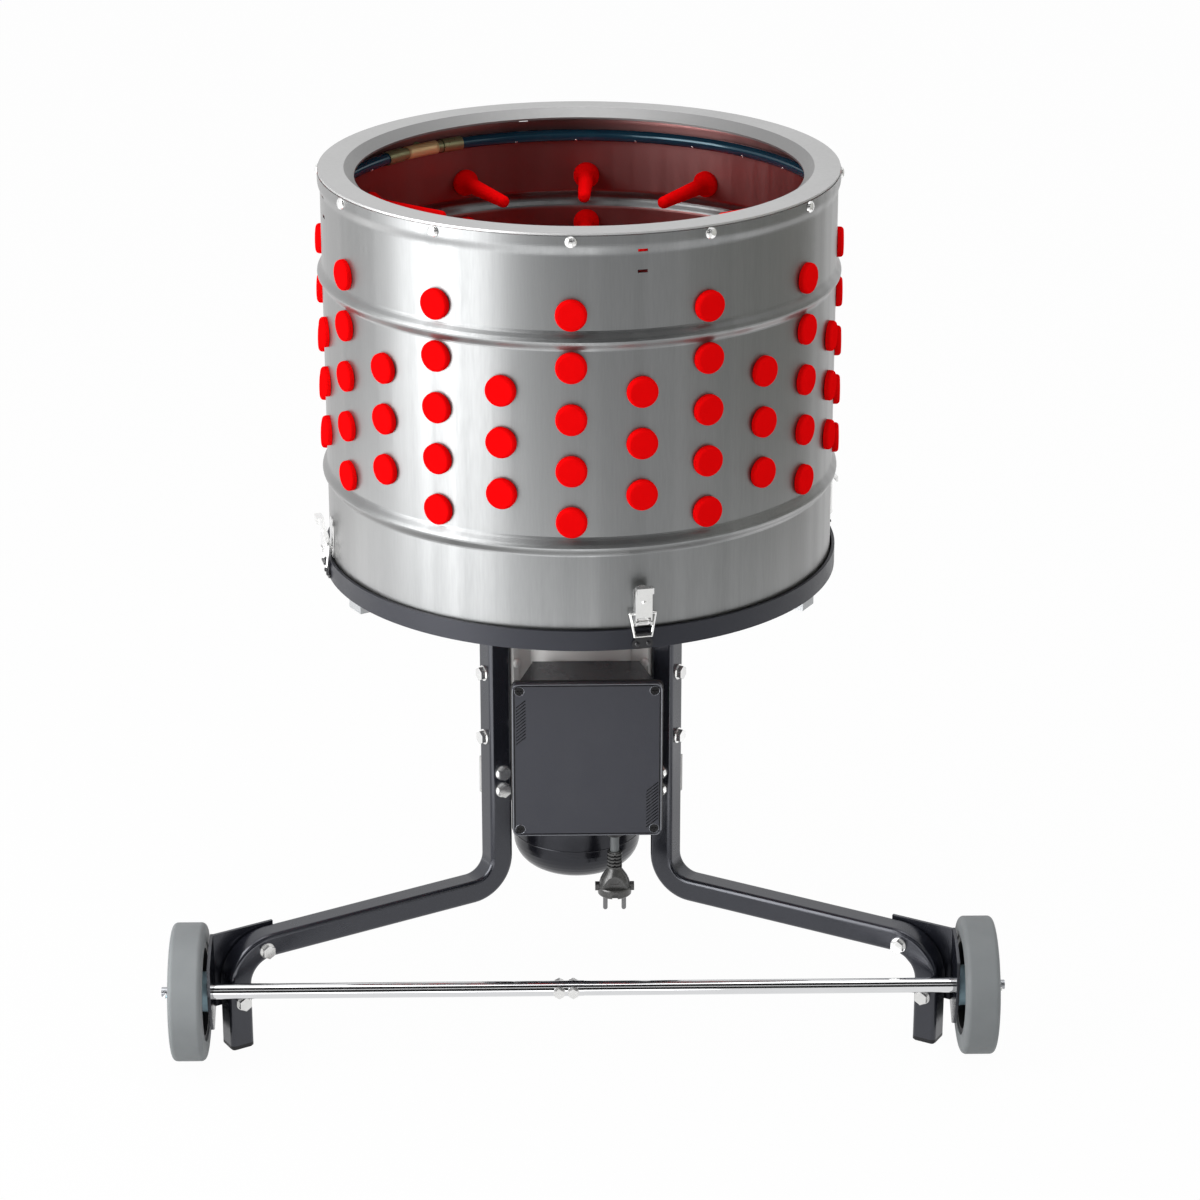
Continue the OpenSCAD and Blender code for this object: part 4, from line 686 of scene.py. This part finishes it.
@dataclass
class Studio:
    """Camera, floor, lamps and world of the photograph's viewpoint."""

    camera_at: Point = (-0.0449, -3.4638, 1.7416)
    pitch: float = 68.504
    yaw: float = -1.1
    lens: float = 106.94
    sensor: float = 36.0
    far: float = 100.0
    floor_half: float = 14.0
    floor_drop: float = 0.0005
    floor_tone: Colour = (0.78, 0.78, 0.78)
    floor_glow: float = 0.975
    white: Colour = (1.0, 1.0, 1.0)
    surround_light: float = 0.52

    def camera(self) -> None:
        """Puts the camera at the photograph's viewpoint."""
        data = bpy.data.cameras.new("camera")
        data.lens = self.lens
        data.sensor_width = self.sensor
        data.clip_end = self.far
        made = bpy.data.objects.new("camera", data)
        made.location = self.camera_at
        made.rotation_euler = (math.radians(self.pitch), 0.0, math.radians(self.yaw))
        bpy.context.scene.collection.objects.link(made)
        bpy.context.scene.camera = made

    def floor(self) -> None:
        """Lays a white floor that keeps the object's shadow."""
        mesh = bpy.data.meshes.new("floor")
        h = self.floor_half
        mesh.from_pydata([(-h, -h, 0), (h, -h, 0), (h, h, 0), (-h, h, 0)], [], [(0, 1, 2, 3)])
        made = bpy.data.objects.new("floor", mesh)
        made.location = (0.0, 0.0, -self.floor_drop)
        bpy.context.scene.collection.objects.link(made)
        paint = bpy.data.materials.new("floor_white")
        paint.use_nodes = True
        tree = paint.node_tree
        tree.nodes.clear()
        out = tree.nodes.new("ShaderNodeOutputMaterial")
        matt = tree.nodes.new("ShaderNodeBsdfDiffuse")
        matt.inputs["Color"].default_value = (*self.floor_tone, 1.0)
        glow = tree.nodes.new("ShaderNodeEmission")
        glow.inputs["Color"].default_value = (*self.white, 1.0)
        share = calculate(tree, "MULTIPLY", self._background_rays(tree), self.floor_glow)
        mix = tree.nodes.new("ShaderNodeMixShader")
        tree.links.new(share, mix.inputs["Fac"])
        tree.links.new(matt.outputs[0], mix.inputs[1])
        tree.links.new(glow.outputs[0], mix.inputs[2])
        tree.links.new(mix.outputs[0], out.inputs["Surface"])
        made.data.materials.append(paint)

    @staticmethod
    def _background_rays(tree: Tree) -> Socket:
        """Tells the rays that see the background from the rays that light the object.

        Args:
            tree: The node tree that gets the nodes.

        Returns:
            A socket that is one for camera, glossy and transmission rays.
        """
        path = tree.nodes.new("ShaderNodeLightPath")
        first = calculate(tree, "MAXIMUM", path.outputs["Is Camera Ray"], path.outputs["Is Glossy Ray"])
        return calculate(tree, "MAXIMUM", first, path.outputs["Is Transmission Ray"])

    def world(self) -> None:
        """Makes a white surround that lights the object softly."""
        world = bpy.data.worlds.new("studio")
        bpy.context.scene.world = world
        world.use_nodes = True
        tree = world.node_tree
        tree.nodes.clear()
        out = tree.nodes.new("ShaderNodeOutputWorld")
        back = tree.nodes.new("ShaderNodeBackground")
        back.inputs["Color"].default_value = (*self.white, 1.0)
        level = tree.nodes.new("ShaderNodeMapRange")
        level.inputs["To Min"].default_value = self.surround_light
        level.inputs["To Max"].default_value = 1.0
        tree.links.new(self._background_rays(tree), level.inputs["Value"])
        tree.links.new(level.outputs["Result"], back.inputs["Strength"])
        tree.links.new(back.outputs[0], out.inputs["Surface"])

    @staticmethod
    def lamp(box: SoftBox) -> None:
        """Hangs one soft box.

        Args:
            box: The lamp to hang.
        """
        data = bpy.data.lights.new(box.name, "AREA")
        data.shape = "RECTANGLE"
        data.size, data.size_y = box.size
        data.energy = box.power
        made = bpy.data.objects.new(box.name, data)
        made.location = box.at
        made.visible_camera = False
        made.visible_diffuse = not box.gloss_only
        made.rotation_euler = (Vector(box.aim) - Vector(box.at)).to_track_quat("-Z", "Y").to_euler()
        bpy.context.scene.collection.objects.link(made)

    @staticmethod
    def flag(sheet: Flag) -> None:
        """Hangs a flag that shows only in glossy surfaces.

        Args:
            sheet: The flag to hang.
        """
        mesh = bpy.data.meshes.new(sheet.name)
        mesh.from_pydata(sheet.corners, [], [(0, 1, 2, 3)])
        made = bpy.data.objects.new(sheet.name, mesh)
        bpy.context.scene.collection.objects.link(made)
        made.visible_camera = False
        made.visible_diffuse = False
        made.visible_shadow = False
        sheet.finish.dress(made)

    def build(self) -> None:
        """Sets up the whole studio."""
        bpy.context.scene.view_settings.view_transform = "Standard"
        self.camera()
        self.floor()
        self.world()
        for box in SOFT_BOXES:
            self.lamp(box)
        for sheet in FLAGS:
            self.flag(sheet)
        LOG.info("lit the studio with %d soft boxes and %d flags", len(SOFT_BOXES), len(FLAGS))


@dataclass
class MainsLead:
    """Short lead that hangs from the control box to its plug."""

    top: Point = (0.0335, -0.1630609, 0.184)
    step: float = 0.018
    joints: int = 3
    diameter: float = 0.009
    bevel: int = 6

    def build(self) -> None:
        """Draws the lead as one curve, hides the CAD cord and dresses the plug, its pins and the cord's
        gland.
        """
        data = bpy.data.curves.new("mains_lead", "CURVE")
        data.dimensions = "3D"
        data.bevel_depth = self.diameter / 2
        data.bevel_resolution = self.bevel
        data.use_fill_caps = True
        x, y, z = self.top
        line = data.splines.new("POLY")
        line.points.add(self.joints)
        for k in range(self.joints + 1):
            line.points[k].co = (x, y, z - self.step * k, 1.0)
        made = bpy.data.objects.new("mains_lead", data)
        bpy.context.scene.collection.objects.link(made)
        CORD_GREY.dress(made)
        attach(made, "frame")
        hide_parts("power_cord")
        PLUG_GREY.dress(node("plug"))
        PIN_STEEL.dress(node("plug_pins"))
        CAP_BLACK.dress(node("cord_gland"))
        LOG.info("made the mains lead, %.0f mm", 1000 * self.step * self.joints)


@dataclass
class ControlBoxTrim:
    """Fine trim of the control box: the cover's edge with its painted highlight, the painted shade line
    inside it and its seal, the roof's lip with its painted highlight, grip lines and screw rims.
    """

    centre_x: float = 0.005
    front_y: float = -0.1971109
    back_y: float = -0.1891109
    low: float = 0.199
    high: float = 0.365
    half_width: float = 0.075
    corner: float = 0.006
    corner_step: int = 15
    roof: float = 0.3629
    skin: float = 0.0001
    edge_in: float = 0.0006
    edge_bar: float = 0.0008
    shade_in: float = 0.0021
    shade_back: float = 0.0002
    shade_bar: float = 0.0006
    seal_bar: float = 0.0011
    lip_back: float = 0.0026
    lip_stops: tuple[float, ...] = (-0.069, -0.03, 0.03, 0.069)
    lip_bar: float = 0.0009
    # Each patch's left, right, bottom and top, and how far one line rises.
    grip_patches: tuple[tuple[float, ...], ...] = (
        (-0.0660, -0.0565, 0.300, 0.350, 0.008), (0.0645, 0.0765, 0.208, 0.258, 0.010),
    )
    grip_step: float = 0.0036
    grip_bar: float = 0.0005
    screw_columns: tuple[float, float] = (-0.0625, 0.0725)
    screw_rows: tuple[float, float] = (0.2065, 0.3575)
    rim_radius: float = 0.0049
    rim_bar: float = 0.0004
    rim_steps: int = 32

    def outline(self, inset: float, y: float) -> list[Vector]:
        """Draws the cover's rounded outline.

        Args:
            inset: How far inside the cover's edge it runs.
            y: The plane it lies in.

        Returns:
            The outline's points, in order.
        """
        r = self.corner
        w = self.half_width - inset
        cx, cz = self.centre_x, (self.low + self.high) / 2
        h = (self.high - self.low) / 2 - inset
        points = []
        for sx, sz, start in ((1, 1, 0), (-1, 1, 90), (-1, -1, 180), (1, -1, 270)):
            for turn in map(math.radians, range(start, start + 91, self.corner_step)):
                points.append(Vector((
                    cx + sx * (w - r) + r * math.cos(turn), y, cz + sz * (h - r) + r * math.sin(turn),
                )))
        return points

    def border(self, name: str, finish: Finish, inset: float, y: float, bar: float) -> None:
        """Runs a fine bar round the cover.

        Args:
            name: The piece's name.
            finish: What its surface looks like.
            inset: How far inside the cover's edge it runs.
            y: The plane it lies in.
            bar: The bar's radius in metres.
        """
        mesh_piece(
            name, "frame", finish,
            lambda work: ring_bar(work, self.outline(inset, y), bar, closed=True),
        )

    def lip(self) -> None:
        """Runs the front lip of the box's roof just behind the seal, in a lighter gloss: a painted highlight.
        """
        mesh_piece(
            "box_lip", "frame", PAINTED_EDGE_HIGHLIGHT,
            lambda work: ring_bar(work, [
                Vector((self.centre_x + x, self.back_y + self.lip_back, self.roof)) for x in self.lip_stops
            ], self.lip_bar),
        )

    def grip_lines(self) -> None:
        """Lays two patches of slanting grip lines on the cover's face, as black bars: painted shade of the
        grooves.
        """
        y = self.front_y + self.skin

        def fill(work: Work) -> None:
            for left, right, low, high, rise in self.grip_patches:
                z = low
                while z + rise < high:
                    path = [Vector((left, y, z)), Vector((right, y, z + rise))]
                    ring_bar(work, path, self.grip_bar, sides=6)
                    z += self.grip_step
        mesh_piece("cover_grip_lines", "frame", SCREW_AND_SHADE_BLACK, fill)

    def screw_rims(self) -> None:
        """Rounds the mouth of each sunk screw hole with a fine bead in a lighter gloss: painted glints."""
        r, y = self.rim_radius, self.front_y + self.skin

        def fill(work: Work) -> None:
            for x in self.screw_columns:
                for z in self.screw_rows:
                    ring_bar(work, [
                        Vector((x + r * math.cos(t), y, z + r * math.sin(t))) for t in turns(self.rim_steps)
                    ], self.rim_bar, closed=True, sides=6)
        mesh_piece("cover_screw_rims", "frame", PAINTED_RIM_HIGHLIGHT, fill)

    def build(self) -> None:
        """Makes all the trim: the edge's painted highlight, the painted shade line inside it, the seal
        behind, then the rest.
        """
        edge_y, shade_y = self.front_y + self.edge_in, self.front_y + self.shade_back
        self.border("cover_edge", PAINTED_EDGE_HIGHLIGHT, self.edge_in, edge_y, self.edge_bar)
        self.border("cover_shade", SCREW_AND_SHADE_BLACK, self.shade_in, shade_y, self.shade_bar)
        self.border("cover_seal", SEAL_BLACK, -self.skin, self.back_y, self.seal_bar)
        self.lip()
        self.grip_lines()
        self.screw_rims()


@dataclass
class PlugTrim:
    """The grooves between the grip ribs of the plug's neck, drawn as black rings: painted shade."""

    centre_x: float = 0.0335
    centre_y: float = -0.1630609
    first: float = 0.1503
    step: float = 0.0038
    grooves: int = 4
    radius: float = 0.00625
    bar: float = 0.0012
    steps: int = 32

    def build(self) -> None:
        """Makes one fine ring for each groove."""
        x, y, r = self.centre_x, self.centre_y, self.radius

        def fill(work: Work) -> None:
            for k in range(self.grooves):
                z = self.first + k * self.step
                path = [Vector((x + r * math.cos(t), y + r * math.sin(t), z)) for t in turns(self.steps)]
                ring_bar(work, path, self.bar, closed=True)
        mesh_piece("plug_grooves", "frame", SCREW_AND_SHADE_BLACK, fill)


@dataclass
class HoseTrim:
    """Fine pieces of the spray ring: the coupling's sleeve and the nozzles' rims."""

    ring_radius: float = 0.24505
    height: float = 0.8275
    coupling: float = -139.0
    half_sleeve: float = 4.6
    sleeve_steps: int = 10
    sleeve_radius: float = 0.0069
    sleeve_sides: int = 24
    nozzles_from: float = -120.0
    nozzles_to: float = 205.0
    nozzle_step: float = 15.0
    nozzle_in: float = 0.0045
    nozzle_down: float = 0.0042
    nozzle_out: float = 0.0062
    rim_radius: float = 0.0011
    rim_bar: float = 0.0004
    rim_steps: int = 12

    def sleeve(self) -> None:
        """Wraps the sleeve round the middle of the coupling."""
        start = self.coupling - self.half_sleeve
        path = [
            about_drum(start + 2 * self.half_sleeve * k / self.sleeve_steps, self.ring_radius, self.height)
            for k in range(self.sleeve_steps + 1)
        ]
        mesh_piece(
            "coupling_sleeve", "frame", SLEEVE,
            lambda work: ring_bar(work, path, self.sleeve_radius, sides=self.sleeve_sides),
        )

    def nozzles(self) -> None:
        """Sets a fine bright zinc rim round each nozzle hole, low on the hose's inner side: painted glints at
        the holes.
        """
        def fill(work: Work) -> None:
            turn = self.nozzles_from
            while turn < self.nozzles_to:
                inward = about_drum(turn, self.ring_radius - self.nozzle_in, self.height - self.nozzle_down)
                middle = about_drum(turn, self.ring_radius, self.height)
                out = (inward - middle).normalized()
                side = out.cross(Vector((0.0, 0.0, 1.0))).normalized()
                up = side.cross(out)
                at = middle + self.nozzle_out * out
                ring_bar(work, [
                    at + self.rim_radius * (math.cos(t) * side + math.sin(t) * up)
                    for t in turns(self.rim_steps)
                ], self.rim_bar, closed=True, sides=6)
                turn += self.nozzle_step
        mesh_piece("hose_nozzle_rims", "frame", ZINC, fill)

    def build(self) -> None:
        """Makes the hose's fine pieces."""
        self.sleeve()
        self.nozzles()


@dataclass
class DrumTrim:
    """Fine pieces of the drum and drive: weld seam, catches' rivets, pad lugs and the motor's seam bead."""

    radius: float = 0.254
    seam_turn: float = 155.0
    seam_spans: tuple[tuple[float, float], ...] = ((0.4545, 0.5435), (0.5655, 0.7465), (0.7685, 0.8425))
    seam_steps: int = 24
    seam_ripple: float = 0.0001
    seam_bar: float = 0.0009
    catch_turn: float = 12.5
    catches: int = 4
    catch_height: float = 0.456
    catch_out: float = 0.2619
    rivets_at: tuple[float, float] = (-0.0055, 0.0055)
    rivet_outline: tuple[tuple[float, float], ...] = (
        (0.0021, 0.0), (0.0021, 0.0003), (0.0016, 0.0008), (0.0008, 0.0010),
    )
    rivet_sides: int = 16
    # Each pad's direction in degrees from +X, and the side of the pad that has the lugs.
    lug_pads: tuple[tuple[float, float], ...] = ((210.0, 1.0), (330.0, -1.0), (90.0, 1.0))
    lug_heights: tuple[float, float] = (0.3555, 0.2855)
    lug_out: float = 0.0855
    lug_side: float = 0.0160
    lug_outline: tuple[tuple[float, float], ...] = (
        (0.0046, 0.0), (0.0046, 0.0030), (0.0038, 0.0042), (0.0022, 0.0048),
    )
    lug_sides: int = 20
    motor_x: float = -0.004
    motor_seam: float = 0.1465
    motor_radius: float = 0.0669
    motor_bar: float = 0.0007
    motor_steps: int = 96

    def seam(self) -> None:
        """Lays the shell's upright weld seam at the back, between the beads."""
        def fill(work: Work) -> None:
            for low, high in self.seam_spans:
                ring_bar(work, [
                    about_drum(
                        self.seam_turn, self.radius + self.seam_ripple * (k % 2),
                        low + (high - low) * k / self.seam_steps,
                    )
                    for k in range(self.seam_steps + 1)
                ], self.seam_bar)
        mesh_piece("shell_seam", "frame", GROUND_STEEL, fill)

    def rivets(self) -> None:
        """Caps the two rivets of each latch catch with a dark dome."""
        def fill(work: Work) -> None:
            for k in range(self.catches):
                turn = self.catch_turn + 360.0 / self.catches * k
                out = (about_drum(turn, 1.0, 0.0) - about_drum(turn, 0.0, 0.0)).normalized()
                side = Vector((0.0, 0.0, 1.0)).cross(out)
                for y in self.rivets_at:
                    at = about_drum(turn, self.catch_out, self.catch_height) + y * side
                    lathe(work, self.rivet_outline, standing(at, out), self.rivet_sides)
        mesh_piece("catch_rivet_caps", "frame", CATCH_BLACK, fill)

    def pad_lugs(self) -> None:
        """Stands two rounded cast lugs on one edge of each housing pad."""
        def fill(work: Work) -> None:
            for turn, side in self.lug_pads:
                c, n = math.cos(math.radians(turn)), math.sin(math.radians(turn))
                out, along = Vector((c, n, 0.0)), side * Vector((-n, c, 0.0))
                for height in self.lug_heights:
                    at = Vector((0.0, DRUM_AXIS_Y, height)) + self.lug_out * out + self.lug_side * along
                    lathe(work, self.lug_outline, standing(at, along), self.lug_sides)
        mesh_piece("housing_pad_lugs", "frame", CASTING_GREY, fill)

    def motor_band(self) -> None:
        """Rolls the fine bead where the motor's lower cap meets its body."""
        x, r = self.motor_x, self.motor_radius
        path = [
            Vector((x + r * math.cos(t), DRUM_AXIS_Y + r * math.sin(t), self.motor_seam))
            for t in turns(self.motor_steps)
        ]
        mesh_piece(
            "motor_seam_bead", "frame", MOTOR_BLACK,
            lambda work: ring_bar(work, path, self.motor_bar, closed=True),
        )

    def build(self) -> None:
        """Makes the drum's and the motor's fine pieces."""
        self.seam()
        self.rivets()
        self.pad_lugs()
        self.motor_band()


@dataclass
class Dressing:
    """The finishes of the CAD nodes that stay as they are."""

    finishes: dict[str, Finish] = field(
        default_factory=lambda: {
            "drum_shell": SHEET_STEEL, "drum_lid": LID_STEEL, "lid_screws": ZINC, "wall_fingers": RED_RUBBER,
            "plate_fingers": RED_RUBBER, "finger_plate": PLATE_STEEL, "plate_hub": GROUND_STEEL,
            "drive_shaft": GROUND_STEEL, "output_gear": GROUND_STEEL, "lay_shaft": GROUND_STEEL,
            "rotor": GROUND_STEEL, "stator": COPPER, "ball_bearings": GROUND_STEEL, "shaft_seal": SEAL_BLACK,
            "base_ring": RING_GREY, "support_spider": ARM_STEEL, "gear_housing": CASTING_GREY,
            "motor_flange": CASTING_GREY, "motor_housing": MOTOR_BLACK, "motor_end_cap": MOTOR_BLACK,
            "left_leg": LEG_BLACK, "right_leg": LEG_BLACK, "rear_leg": LEG_BLACK, "foot_caps": CAP_BLACK,
            "wheel_brackets": LEG_BLACK, "bracket_bolts": ZINC, "frame_bolts": ZINC, "frame_nuts": ZINC,
            "axle_fasteners": ZINC, "left_axle_tube": CHROME, "right_axle_tube": CHROME,
            "axle_rod": GROUND_STEEL, "left_tyre": TYRE_GREY, "right_tyre": TYRE_GREY,
            "left_hub": HUB_BLACK, "right_hub": HUB_BLACK,
            "control_box": BOX_BLACK, "box_cover": BOX_GREY, "cover_screws": SCREW_AND_SHADE_BLACK,
            "run_capacitor": PALE_PLASTIC, "switch_block": SEAL_BLACK, "start_button": START_GREEN,
            "stop_button": STOP_RED, "latch_bases": ZINC, "latch_catches": CATCH_BLACK,
            "spray_hose": HOSE_BLUE, "hose_coupling": BRASS, "water_inlet": BRASS,
            **{f"latch_lever_{k}": ZINC for k in range(1, 5)},
            **{f"latch_bail_{k}": ZINC for k in range(1, 5)},
        }
    )

    def build(self) -> None:
        """Dresses each node in its finish."""
        for name, finish in self.finishes.items():
            finish.dress(node(name))
            LOG.info("dressed %s in %s", name, finish.name)


def main() -> None:
    """Builds the scene in order."""
    logging.basicConfig(level=logging.INFO, format="%(message)s")
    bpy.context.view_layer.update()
    Studio().build()
    MainsLead().build()
    Dressing().build()
    for trim in (ControlBoxTrim(), PlugTrim(), HoseTrim(), DrumTrim()):
        trim.build()
        LOG.info("finished %s", type(trim).__name__)


if __name__ == "__main__":
    main()
